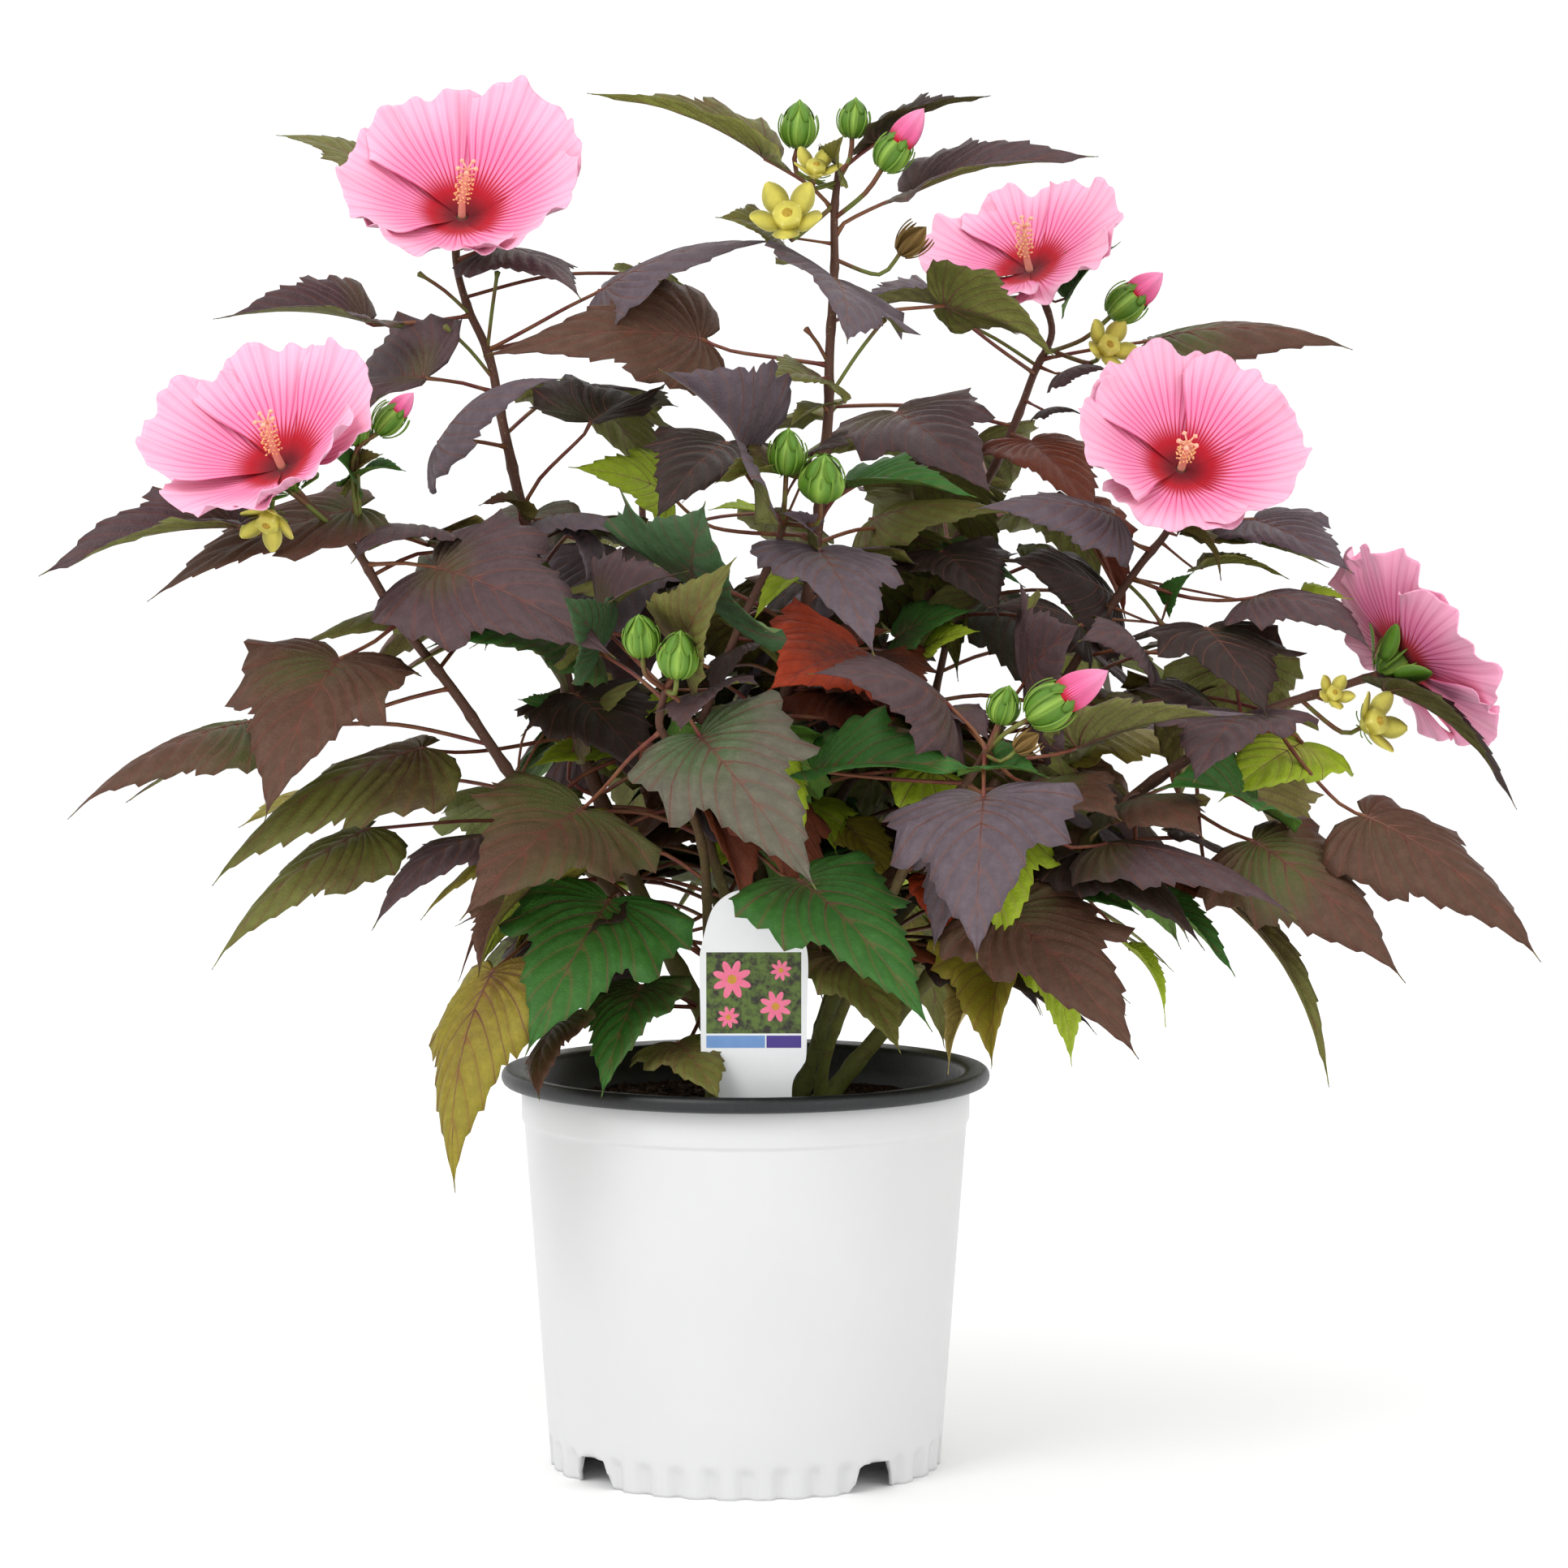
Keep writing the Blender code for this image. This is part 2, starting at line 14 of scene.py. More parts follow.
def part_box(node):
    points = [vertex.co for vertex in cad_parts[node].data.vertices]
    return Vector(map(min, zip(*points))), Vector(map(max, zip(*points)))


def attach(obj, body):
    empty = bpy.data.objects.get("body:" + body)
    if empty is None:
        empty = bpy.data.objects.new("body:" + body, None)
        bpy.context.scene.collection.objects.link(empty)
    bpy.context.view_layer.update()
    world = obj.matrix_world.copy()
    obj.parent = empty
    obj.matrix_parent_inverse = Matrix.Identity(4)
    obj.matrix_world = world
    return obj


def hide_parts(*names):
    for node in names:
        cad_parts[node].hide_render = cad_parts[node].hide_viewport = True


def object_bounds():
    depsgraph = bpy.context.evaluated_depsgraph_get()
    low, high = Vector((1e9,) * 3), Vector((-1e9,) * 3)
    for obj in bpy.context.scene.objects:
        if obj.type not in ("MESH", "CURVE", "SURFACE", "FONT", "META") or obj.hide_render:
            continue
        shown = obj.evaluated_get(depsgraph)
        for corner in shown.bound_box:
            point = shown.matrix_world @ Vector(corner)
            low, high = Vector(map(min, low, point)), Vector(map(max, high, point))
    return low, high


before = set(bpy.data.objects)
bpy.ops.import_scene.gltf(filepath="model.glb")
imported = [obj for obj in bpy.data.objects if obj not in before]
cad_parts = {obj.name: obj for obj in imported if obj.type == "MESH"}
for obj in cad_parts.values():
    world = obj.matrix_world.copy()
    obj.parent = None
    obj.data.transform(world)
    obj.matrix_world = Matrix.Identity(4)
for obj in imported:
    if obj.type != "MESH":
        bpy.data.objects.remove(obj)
CAD_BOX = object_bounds()

# Camera fitted to the pot: distance from its axis, height, tilt down, turn to the right and focal length
CAMERA_DISTANCE = 2.6956
CAMERA_HEIGHT = 0.5662
CAMERA_TILT = math.radians(3.732)
CAMERA_TURN = math.radians(0.468)
FOCAL_PIXELS = 5822.4
PICTURE_PIXELS = 1932
MIDDLE_PIXEL = PICTURE_PIXELS / 2
SENSOR_MM = 36.0
FORWARD = np.array((
    math.sin(CAMERA_TURN) * math.cos(CAMERA_TILT),
    math.cos(CAMERA_TURN) * math.cos(CAMERA_TILT),
    -math.sin(CAMERA_TILT),
))
RIGHT = np.array((math.cos(CAMERA_TURN), -math.sin(CAMERA_TURN), 0.0))
UP = np.cross(RIGHT, FORWARD)
EYE = np.array((0.0, -CAMERA_DISTANCE, CAMERA_HEIGHT))
MM_PER_M = 1000.0
# Pixels of the photograph that a metre takes up beside the pot's axis
PIXELS_PER_M = 2160.0

# Pot, in metres
POT_HEIGHT = 0.228
RIM_RADIUS = 0.140
WALL_TOP = 0.2185
WALL_TOP_RADIUS = 0.1270
COLLAR_RADIUS = 0.1285
COLLAR_BOTTOM = 0.198
FOOT_RADIUS = 0.1122
WALL_THICKNESS = 0.0022
SOIL_TOP = 0.2080
NOTCH_BEARINGS = (-50.0, 40.0, 130.0, 220.0)
NOTCH_HEIGHT = 0.016
FLUTE_TOP = 0.022
FLUTES = 36

# Stems: name, radius at the foot and at the tip (mm), then points of the photograph with their depth (mm,
# more is farther away)
STEMS = {
    "stem_west": (5.6, 2.0, (
        (900, 1352, 0), (872, 1262, -2), (806, 1140, 0), (742, 990, 8), (706, 882, 14),
        (690, 800, 20), (650, 655, 30), (618, 515, 42), (603, 440, 52), (575, 375, 64),
        (562, 322, 76), (565, 289, 80),
    )),
    "bough_west_low": (4.0, 2.0, (
        (818, 1160, 0), (765, 1110, -10), (698, 1040, -25), (632, 958, -38), (562, 855, -50),
        (492, 765, -60), (447, 690, -68), (414, 650, -74), (354, 601, -83),
    )),
    "stem_front_west": (3.4, 2.0, (
        (878, 1354, -34), (873, 1200, -50), (868, 1060, -76), (846, 985, -102), (822, 915, -132),
        (812, 890, -142), (820, 850, -154),
    )),
    "stem_inner_west": (4.0, 1.9, (
        (925, 1354, -22), (912, 1190, -22), (899, 1121, -24), (866, 1019, -30), (848, 955, -36),
        (872, 870, -44), (912, 770, -52), (950, 690, -58), (966, 645, -60),
    )),
    "stem_centre": (5.4, 2.0, (
        (944, 1354, 14), (937, 1110, 12), (946, 1000, 8), (968, 860, 0), (990, 760, -6),
        (1006, 660, -12), (1020, 520, -18), (1022, 440, -20), (1028, 330, -22), (1028, 262, -23),
        (1033, 212, -24),
    )),
    "stem_inner_east": (4.6, 2.0, (
        (968, 1353, 38), (980, 1180, 62), (1006, 1052, 80), (1032, 990, 90), (1092, 850, 108),
        (1166, 690, 122), (1240, 545, 134), (1274, 460, 140), (1296, 410, 142), (1283, 364, 139),
    )),
    "stem_front_east": (3.5, 2.2, (
        (1008, 1354, -28), (1018, 1300, -40), (1042, 1235, -52), (1066, 1180, -62), (1104, 1092, -78),
        (1136, 1030, -96), (1190, 965, -116), (1216, 925, -130),
    )),
    "stem_east_upright": (4.4, 2.0, (
        (982, 1353, 16), (1010, 1280, 16), (1036, 1216, 18), (1100, 1138, 22), (1152, 1076, 28),
        (1230, 960, 38), (1300, 856, 44), (1354, 770, 46), (1402, 700, 44), (1438, 655, 46),
        (1456, 612, 53),
    )),
    "stem_east_low": (5.2, 2.2, (
        (1012, 1353, -4), (1090, 1268, -8), (1195, 1152, -14), (1312, 1056, -20), (1405, 975, -24),
        (1480, 925, -26), (1560, 876, -24), (1640, 850, -14), (1697, 831, -5),
    )),
    "stem_back_west": (3.8, 2.0, (
        (930, 1350, 44), (905, 1200, 80), (868, 1040, 122), (826, 860, 166), (796, 690, 200),
        (790, 580, 214),
    )),
    "stem_back_east": (3.8, 2.0, (
        (990, 1350, 56), (1030, 1200, 96), (1086, 1050, 142), (1140, 900, 184), (1172, 760, 214),
        (1180, 700, 222),
    )),
}

# Foliage pieces and the leaf masses that each stands for
FOLIAGE = {
    "foliage_west": ("west_tip", "west_bough", "west_low", "west_hanging", "west_inner"),
    "foliage_high": (
        "high_west", "under_west_bloom", "high_inner_west", "upper_centre", "centre_crown", "top_west",
        "top_buds", "top_east", "high_east"),
    "foliage_centre": (
        "inner_west", "centre_west", "middle", "middle_dark", "middle_low", "heart", "red", "east_centre",
        "east_middle", "orange"),
    "foliage_low": (
        "southwest", "front_west", "pot_west", "front_centre", "front_east", "rust", "southeast"),
    "foliage_east": ("east_mid", "east_tip", "east_shelf", "east_high", "east_end", "under_east_bloom"),
    "foliage_back": ("back_west", "back_east", "back_low"),
}

# Leaf habits: fold up from the midrib (degrees), droop along it (degrees), curl of the margins, twist
# (degrees), depth of the side lobes, wave of the margin (share of the length)
HABITS = {
    "open": (8, 30, 0.7, 6, 0.55, 0.022),
    "roof": (-14, 42, 0.9, 8, 0.5, 0.022),
    "boat": (34, 34, 0.4, 10, 0.5, 0.026),
    "hang": (-6, 58, 1.0, 10, 0.6, 0.024),
    "star": (6, 30, 0.6, 6, 1.0, 0.022),
    "dry": (44, 80, -0.6, 70, 0.4, 0.050),
    "strap": (40, 50, 0.5, 40, 0.0, 0.030),
    "young": (24, 40, 0.6, 14, 0.2, 0.026),
}

# Leaves that show: piece, stem, where the stalk leaves it, the stalk's bends, the blade's junction and depth,
# its tip, the blade's length (mm, minus where the tip lies away), how far its face turns to the front (minus
# shows the underside), its width, tint, habit and the share that has turned to the tint's second colour
LEAVES = (
    ("west", "bough_west_low", (433, 663), ((340, 662),), (295, 650), -84,
     (55, 706), 112, 0.38, 0.75, "purple", "boat", 0.1),
    ("west", "bough_west_low", (438, 660), (), (438, 628), -60,
     (190, 735), 124, 0.48, 0.8, "bronze", "open", 0.3),
    ("west", "stem_west", (650, 658), ((600, 655),), (528, 656), -44,
     (436, 690), 92, 0.55, 0.9, "purple", "hang", 0.2),
    ("west", "bough_west_low", (455, 697), ((500, 694),), (537, 700), -86,
     (755, 808), 128, 0.80, 0.95, "purple", "star", 0.1),
    ("west", "bough_west_low", (497, 765), ((462, 790),), (418, 812), -80,
     (328, 1005), 120, 0.92, 1.0, "bronze", "star", 0.2),
    ("west", "bough_west_low", (558, 850), ((505, 860), (400, 890)), (305, 890), -70,
     (90, 1003), 118, 0.45, 0.85, "bronze", "roof", 0.5),
    ("west", "stem_west", (700, 912), ((620, 922), (560, 927)), (520, 922), -40,
     (268, 1083), 138, 0.55, 0.7, "olive", "roof", 0.5),
    ("west", "stem_west", (742, 1000), ((650, 1010), (565, 1012)), (452, 1022), -36,
     (266, 1187), 120, 0.60, 0.75, "olive", "roof", 0.3),
    ("west", "stem_west", (742, 1004), ((680, 1010),), (600, 1030), -40,
     (462, 1140), 104, 0.55, 0.8, "purple", "hang", 0.2),
    ("west", "stem_front_west", (812, 900), ((780, 930), (745, 970)), (718, 997), -96,
     (572, 1128), 118, 0.90, 1.05, "bronze", "star", 0.6),
    ("west", "bough_west_low", (640, 965), ((648, 900),), (690, 880), -10,
     (640, 862), 30, 0.6, 0.9, "green", "young", 0.2),
    ("west", "bough_west_low", (640, 965), ((660, 920),), (685, 885), -10,
     (643, 906), 30, 0.5, 0.5, "bronze", "strap", 0.2),
    ("west", "stem_west", (720, 930), (), (765, 925), 34,
     (655, 945), 70, 0.5, 0.8, "lime", "open", 0.2),
    ("west", "bough_west_low", (450, 700), ((436, 640),), (437, 590), -74,
     (392, 548), 40, 0.5, 0.8, "green", "young", 0.4),
    ("west", "bough_west_low", (450, 700), ((438, 640),), (440, 590), -70,
     (498, 580), 40, 0.4, 0.8, "green", "young", 0.2),
    ("west", "bough_west_low", (450, 700), ((438, 640),), (438, 588), -64,
     (470, 560), 42, 0.6, 0.7, "olive", "young", 0.2),
    ("low", "bough_west_low", (765, 1110), ((760, 1100),), (750, 1110), -92,
     (650, 1295), 118, 0.96, 1.0, "green", "star", 0.0),
    ("low", "bough_west_low", (765, 1110), ((690, 1105), (660, 1150)), (607, 1197), -118,
     (560, 1460), 130, 0.75, 0.8, "yellow", "roof", 0.3),
    ("low", "bough_west_low", (740, 1085), ((680, 1090),), (645, 1105), -96,
     (590, 1200), 70, 0.5, 0.8, "bronze", "boat", 0.3),
    ("low", "stem_west", (860, 1240), ((760, 1240),), (690, 1258), -90,
     (664, 1352), 70, 0.55, 0.8, "bronze", "roof", 0.5),
    ("low", "stem_west", (862, 1240), ((820, 1220),), (790, 1215), -84,
     (742, 1348), 84, 0.85, 0.9, "green", "open", 0.6),
    ("low", "stem_west", (868, 1250), ((850, 1280),), (835, 1285), -84,
     (886, 1356), 62, 0.85, 1.15, "olive", "star", 0.4),
    ("high", "stem_west", (578, 392), ((545, 394), (460, 401)), (452, 397), 52,
     (270, 392), 100, 0.50, 0.8, "purple", "boat", 0.2),
    ("high", "stem_west", (563, 300), (), (470, 215), 112,
     (345, 167), -80, 0.45, 0.7, "olive", "open", 0.3),
    ("high", "stem_west", (610, 482), ((570, 472),), (525, 466), 30,
     (420, 500), -100, 0.55, 0.9, "purple", "boat", 0.1),
    ("high", "stem_west", (622, 552), ((580, 543),), (540, 545), 2,
     (690, 467), 100, 0.48, 0.8, "grey", "roof", 0.0),
    ("high", "stem_west", (645, 625), ((665, 590), (720, 535)), (728, 520), 20,
     (832, 500), -100, 0.42, 0.9, "dark", "boat", 0.2),
    ("centre", "stem_centre", (1006, 660), ((880, 650),), (822, 606), 60,
     (705, 576), 66, 0.85, 0.85, "lime", "open", 0.0),
    ("centre", "stem_west", (652, 660), ((660, 640),), (672, 640), 26,
     (790, 668), 90, 0.35, 0.8, "grey", "roof", 0.2),
    ("centre", "stem_west", (652, 660), ((640, 640),), (640, 632), 20,
     (592, 622), 34, 0.5, 0.7, "bronze", "dry", 0.4),
    ("centre", "stem_west", (655, 672), ((700, 650),), (718, 650), 18,
     (722, 718), 52, 0.7, 0.8, "grey", "hang", 0.2),
    ("high", "stem_west", (562, 322), ((600, 305),), (620, 306), 70,
     (714, 366), 84, 0.62, 0.9, "purple", "roof", 0.2),
    ("centre", "stem_front_west", (820, 852), ((770, 800),), (742, 772), -80,
     (846, 704), 96, 0.6, 0.9, "purple", "boat", 0.1),
    ("centre", "stem_front_west", (820, 860), ((780, 830), (752, 812)), (738, 797), -120,
     (694, 735), 60, 0.85, 0.9, "bluegreen", "open", 0.1),
    ("centre", "stem_front_west", (820, 860), ((780, 830), (752, 812)), (722, 795), -60,
     (530, 797), 104, 0.48, 0.8, "green", "roof", 0.7),
    ("high", "stem_centre", (1029, 260), ((1000, 230),), (942, 195), -14,
     (732, 116), 106, 0.32, 0.75, "olive", "boat", 0.4),
    ("high", "stem_centre", (1033, 214), (), (1033, 204), -30,
     (1040, 166), 40, 0.7, 0.9, "olive", "young", 0.2),
    ("high", "stem_centre", (1030, 290), ((1040, 275), (1090, 250)), (1125, 238), -18,
     (1345, 193), 106, 0.42, 0.75, "purple", "boat", 0.2),
    ("high", "stem_centre", (1033, 214), ((1060, 190),), (1082, 175), 0,
     (1215, 119), 80, 0.32, 0.7, "dark", "boat", 0.4),
    ("high", "stem_west", (603, 432), ((660, 400), (700, 378)), (743, 357), 20,
     (958, 298), 110, 0.45, 0.85, "grey", "roof", 0.1),
    ("high", "stem_centre", (1028, 300), ((990, 295),), (955, 290), -20,
     (884, 268), 46, 0.6, 1.1, "olive", "open", 0.5),
    ("high", "stem_centre", (1027, 365), ((1027, 350),), (1028, 344), -34,
     (1044, 420), 88, 0.78, 1.15, "grey", "star", 0.0),
    ("high", "stem_inner_east", (1275, 462), ((1225, 425),), (1165, 378), 60,
     (1036, 384), 82, 0.30, 0.8, "grey", "boat", 0.0),
    ("high", "stem_centre", (1025, 398), ((1040, 391), (1100, 382)), (1162, 377), 20,
     (1298, 438), 86, -0.45, 0.8, "purple", "boat", 0.2),
    ("high", "stem_centre", (1020, 450), ((960, 441), (900, 432)), (865, 418), 0,
     (605, 438), 126, 0.80, 0.82, "bronze", "open", 0.1),
    ("high", "stem_centre", (1022, 470), (), (1012, 466), -26,
     (935, 470), 50, 0.55, 1.2, "olive", "open", 0.2),
    ("high", "stem_centre", (1021, 510), (), (1015, 500), -26,
     (972, 528), 34, 0.5, 0.9, "olive", "young", 0.2),
    ("centre", "stem_inner_west", (966, 646), ((945, 620), (925, 580)), (918, 558), -72,
     (814, 456), 96, 0.78, 1.15, "grey", "boat", 0.0),
    ("centre", "stem_inner_west", (966, 646), ((930, 600),), (895, 545), -40,
     (808, 640), 92, 0.85, 1.0, "dark", "open", 0.1),
    ("centre", "stem_inner_west", (960, 665), ((965, 620),), (980, 590), -66,
     (884, 594), 60, 0.32, 0.9, "olive", "boat", 0.6),
    ("centre", "stem_inner_west", (966, 646), ((990, 590),), (1003, 556), -64,
     (1048, 548), 44, 0.5, 1.0, "dark", "open", 0.1),
    ("centre", "stem_inner_east", (1235, 560), ((1155, 562), (1130, 550)), (1105, 508), 86,
     (1222, 608), 116, 0.85, 0.95, "purple", "star", 0.2),
    ("centre", "stem_centre", (1008, 640), ((1030, 612),), (1044, 602), -20,
     (1200, 612), 86, 0.42, 0.8, "green", "boat", 0.3),
    ("centre", "stem_inner_east", (1180, 665), ((1110, 650),), (1075, 640), 60,
     (1240, 632), 88, 0.50, 0.8, "olive", "roof", 0.1),
    ("centre", "stem_front_west", (820, 850), ((850, 780),), (856, 722), -112,
     (868, 622), 104, 0.85, 1.35, "bluegreen", "star", 0.2),
    ("centre", "stem_front_west", (820, 850), ((840, 820),), (843, 798), -150,
     (904, 690), 84, 0.85, 0.75, "olive", "young", 0.4),
    ("centre", "stem_inner_west", (905, 790), ((930, 790),), (920, 795), -40,
     (880, 866), 58, 0.6, 0.9, "dark", "hang", 0.0),
    ("centre", "stem_front_west", (822, 852), ((850, 850),), (872, 850), -136,
     (838, 900), 60, 0.6, 1.1, "purple", "open", 0.0),
    ("centre", "stem_front_west", (820, 852), ((835, 862),), (862, 907), -158,
     (1003, 1092), 118, 0.95, 0.95, "moss", "star", 0.4),
    ("centre", "stem_west", (700, 850), ((705, 855),), (712, 858), -8,
     (800, 962), 92, 0.80, 0.95, "dark", "open", 0.2),
    ("centre", "stem_west", (740, 985), ((700, 960),), (715, 900), 8,
     (792, 838), 70, 0.4, 0.7, "olive", "roof", 0.3),
    ("low", "stem_centre", (943, 1020), (), (968, 985), 44,
     (860, 1085), 96, 0.85, 1.0, "lime", "open", 0.0),
    ("low", "stem_centre", (943, 1020), (), (1000, 985), 50,
     (1030, 1050), 60, 0.8, 1.0, "lime", "open", 0.0),
    ("centre", "stem_centre", (1000, 720), ((1010, 690),), (1005, 692), 14,
     (926, 768), 62, 0.7, 0.7, "lime", "boat", 0.1),
    ("centre", "stem_centre", (996, 745), ((1010, 730),), (1000, 725), 20,
     (1072, 775), 46, 0.6, 0.8, "lime", "boat", 0.1),
    ("centre", "stem_centre", (1008, 655), ((950, 640),), (945, 632), 26,
     (875, 628), 40, 0.35, 0.8, "lime", "open", 0.1),
    ("centre", "stem_west", (706, 882), ((770, 880),), (790, 880), 20,
     (838, 858), 34, 0.6, 0.8, "lime", "open", 0.1),
    ("centre", "stem_inner_west", (958, 668), ((975, 668), (990, 672)), (1010, 678), -64,
     (1076, 805), 96, 0.85, 1.0, "grey", "star", 0.0),
    ("centre", "stem_inner_west", (960, 660), ((985, 660),), (995, 665), -64,
     (960, 632), 34, 0.5, 0.7, "grey", "dry", 0.0),
    ("centre", "stem_inner_east", (1110, 810), ((1080, 800),), (1058, 800), -30,
     (948, 850), 90, 0.88, 1.2, "red", "open", 0.5),
    ("centre", "stem_centre", (970, 850), ((1000, 850),), (1036, 850), 0,
     (1090, 935), 84, 0.9, 1.1, "rust", "open", 0.4),
    ("centre", "stem_centre", (970, 850), ((1040, 820),), (1060, 815), 10,
     (1140, 900), 84, 0.8, 1.1, "rust", "open", 0.6),
    ("centre", "stem_centre", (978, 820), ((1010, 800),), (1030, 800), 14,
     (1096, 776), 50, 0.7, 0.8, "rust", "open", 0.3),
    ("centre", "stem_front_east", (1216, 927), ((1200, 900),), (1166, 866), -96,
     (1000, 830), 98, 0.62, 0.95, "purple", "roof", 0.1),
    ("centre", "stem_front_east", (1216, 927), ((1195, 900),), (1170, 872), -80,
     (1218, 912), 46, 0.6, 1.1, "purple", "open", 0.1),
    ("centre", "stem_front_east", (1190, 965), ((1100, 960),), (1005, 950), -90,
     (1200, 948), 100, 0.50, 0.9, "green", "boat", 0.1),
    ("low", "stem_centre", (944, 1040), ((1020, 1030),), (1040, 1015), 30,
     (1108, 1100), 66, 0.75, 0.8, "yellow", "open", 0.1),
    ("low", "stem_inner_west", (856, 985), ((900, 1020), (960, 1075)), (985, 1085), -140,
     (1144, 1264), 124, 0.78, 0.9, "green", "star", 0.2),
    ("low", "stem_front_east", (1066, 1180), ((1050, 1180),), (1036, 1178), -70,
     (1108, 1294), 76, 0.75, 1.0, "olive", "open", 0.4),
    ("low", "stem_front_east", (1214, 930), ((1212, 950),), (1212, 982), -152,
     (1204, 1178), 112, 0.97, 1.12, "grey", "star", 0.0),
    ("low", "stem_east_low", (1190, 1156), ((1165, 1100),), (1160, 1086), -34,
     (1224, 1243), 84, 0.75, 0.75, "red", "open", 0.3),
    ("low", "stem_east_low", (1230, 1120), ((1240, 1150),), (1241, 1172), -60,
     (1222, 1310), 92, 0.85, 1.1, "yellow", "boat", 0.2),
    ("low", "stem_east_low", (1190, 1156), ((1205, 1200),), (1205, 1236), -52,
     (1168, 1322), 52, 0.7, 0.8, "straw", "dry", 0.2),
    ("low", "stem_east_low", (1290, 1075), ((1240, 1110),), (1238, 1124), -110,
     (1398, 1298), 118, 0.82, 0.95, "bronze", "star", 0.1),
    ("low", "stem_east_low", (1290, 1075), ((1280, 1150),), (1282, 1170), -70,
     (1320, 1308), 72, 0.7, 0.9, "lime", "open", 0.2),
    ("low", "stem_east_low", (1300, 1066), ((1380, 1150),), (1392, 1170), -60,
     (1436, 1262), 52, 0.5, 0.5, "lime", "strap", 0.1),
    ("low", "stem_east_low", (1300, 1066), (), (1290, 1085), -50,
     (1400, 1125), 70, 0.5, 1.0, "green", "open", 0.3),
    ("east", "stem_east_low", (1312, 1056), (), (1262, 1075), -44,
     (1330, 1050), 60, 0.6, 0.9, "dark", "open", 0.1),
    ("east", "stem_front_east", (1216, 925), ((1250, 960),), (1280, 966), -80,
     (1380, 1010), 76, 0.55, 1.1, "bronze", "open", 0.3),
    ("east", "stem_east_low", (1405, 975), ((1390, 980),), (1383, 990), -50,
     (1482, 1032), 88, 0.62, 1.2, "bronze", "hang", 0.5),
    ("east", "stem_front_east", (1190, 965), ((1300, 1035), (1330, 1044)), (1364, 1040), -90,
     (1594, 1130), 124, 0.42, 0.75, "purple", "roof", 0.2),
    ("east", "stem_front_east", (1190, 965), ((1290, 1030),), (1330, 1048), -70,
     (1480, 1165), 104, 0.62, 0.85, "dark", "roof", 0.2),
    ("east", "stem_east_low", (1400, 978), ((1400, 1060),), (1410, 1110), -56,
     (1520, 1200), 72, 0.35, 0.6, "green", "strap", 0.3),
    ("east", "stem_east_low", (1470, 930), ((1480, 1040),), (1490, 1098), -50,
     (1636, 1330), 132, 0.35, 0.35, "olive", "strap", 0.6),
    ("east", "stem_east_low", (1440, 950), ((1455, 985), (1505, 1020)), (1545, 1037), -70,
     (1726, 1204), 122, 0.85, 0.9, "bronze", "roof", 0.4),
    ("east", "stem_east_low", (1560, 878), ((1600, 935), (1650, 990)), (1683, 1006), -66,
     (1893, 1178), 130, 0.75, 0.85, "bronze", "roof", 0.1),
    ("east", "stem_east_low", (1500, 912), ((1580, 900),), (1604, 915), -10,
     (1505, 985), 76, 0.8, 1.0, "lime", "open", 0.2),
    ("east", "stem_east_low", (1478, 926), ((1500, 965),), (1545, 993), -50,
     (1425, 972), 80, 0.55, 0.9, "green", "boat", 0.1),
    ("east", "stem_east_low", (1560, 876), ((1545, 880),), (1530, 880), -46,
     (1472, 962), 84, 0.70, 1.15, "purple", "star", 0.1),
    ("east", "stem_front_east", (1218, 927), ((1225, 937), (1300, 930)), (1325, 922), -80,
     (1540, 880), 104, -0.40, 0.7, "grey", "boat", 0.2),
    ("east", "stem_east_upright", (1300, 856), ((1400, 880),), (1500, 874), 0,
     (1394, 850), 66, 0.6, 1.0, "dark", "roof", 0.4),
    ("east", "stem_east_upright", (1345, 785), ((1430, 805),), (1487, 774), 0,
     (1560, 880), 96, 0.85, 1.1, "dark", "star", 0.0),
    ("east", "stem_east_upright", (1395, 712), ((1450, 733), (1500, 740)), (1545, 737), 10,
     (1688, 800), 90, 0.60, 0.9, "purple", "hang", 0.1),
    ("east", "stem_east_low", (1690, 833), ((1700, 840),), (1705, 850), -20,
     (1865, 990), 104, 0.30, 0.45, "dark", "strap", 0.1),
    ("east", "stem_east_upright", (1395, 712), ((1560, 745),), (1600, 742), 30,
     (1665, 738), 36, 0.6, 0.9, "lime", "young", 0.1),
    ("east", "stem_east_upright", (1430, 668), ((1470, 700),), (1482, 700), 40,
     (1585, 712), 54, 0.4, 0.7, "olive", "strap", 0.3),
    ("east", "stem_east_upright", (1440, 652), ((1450, 660),), (1452, 655), 44,
     (1504, 712), 50, 0.4, 0.4, "bronze", "dry", 0.3),
    ("east", "stem_east_upright", (1448, 632), ((1470, 650),), (1475, 652), 60,
     (1632, 697), 78, 0.35, 0.7, "olive", "open", 0.3),
    ("east", "stem_east_upright", (1448, 632), ((1500, 640),), (1545, 640), 56,
     (1664, 704), 84, 0.70, 0.95, "grey", "open", 0.2),
    ("high", "stem_inner_east", (1283, 366), ((1300, 372),), (1318, 366), 130,
     (1378, 300), 52, 0.6, 0.9, "green", "boat", 0.1),
    ("high", "stem_inner_east", (1285, 445), ((1340, 432),), (1418, 420), 140,
     (1658, 428), 122, 0.48, 0.85, "bronze", "roof", 0.4),
    ("high", "stem_inner_east", (1280, 455), ((1300, 460),), (1306, 460), 130,
     (1370, 458), 42, 0.5, 0.9, "purple", "roof", 0.1),
    ("centre", "stem_inner_east", (1262, 495), (), (1285, 505), 120,
     (1335, 512), 34, 0.5, 0.9, "dark", "roof", 0.1),
    ("centre", "stem_inner_east", (1245, 535), ((1262, 540),), (1270, 545), 112,
     (1350, 640), 86, 0.8, 0.9, "rust", "open", 0.2),
    ("centre", "stem_east_upright", (1380, 735), ((1330, 640),), (1330, 630), 84,
     (1386, 760), 76, 0.7, 0.8, "rust", "boat", 0.1),
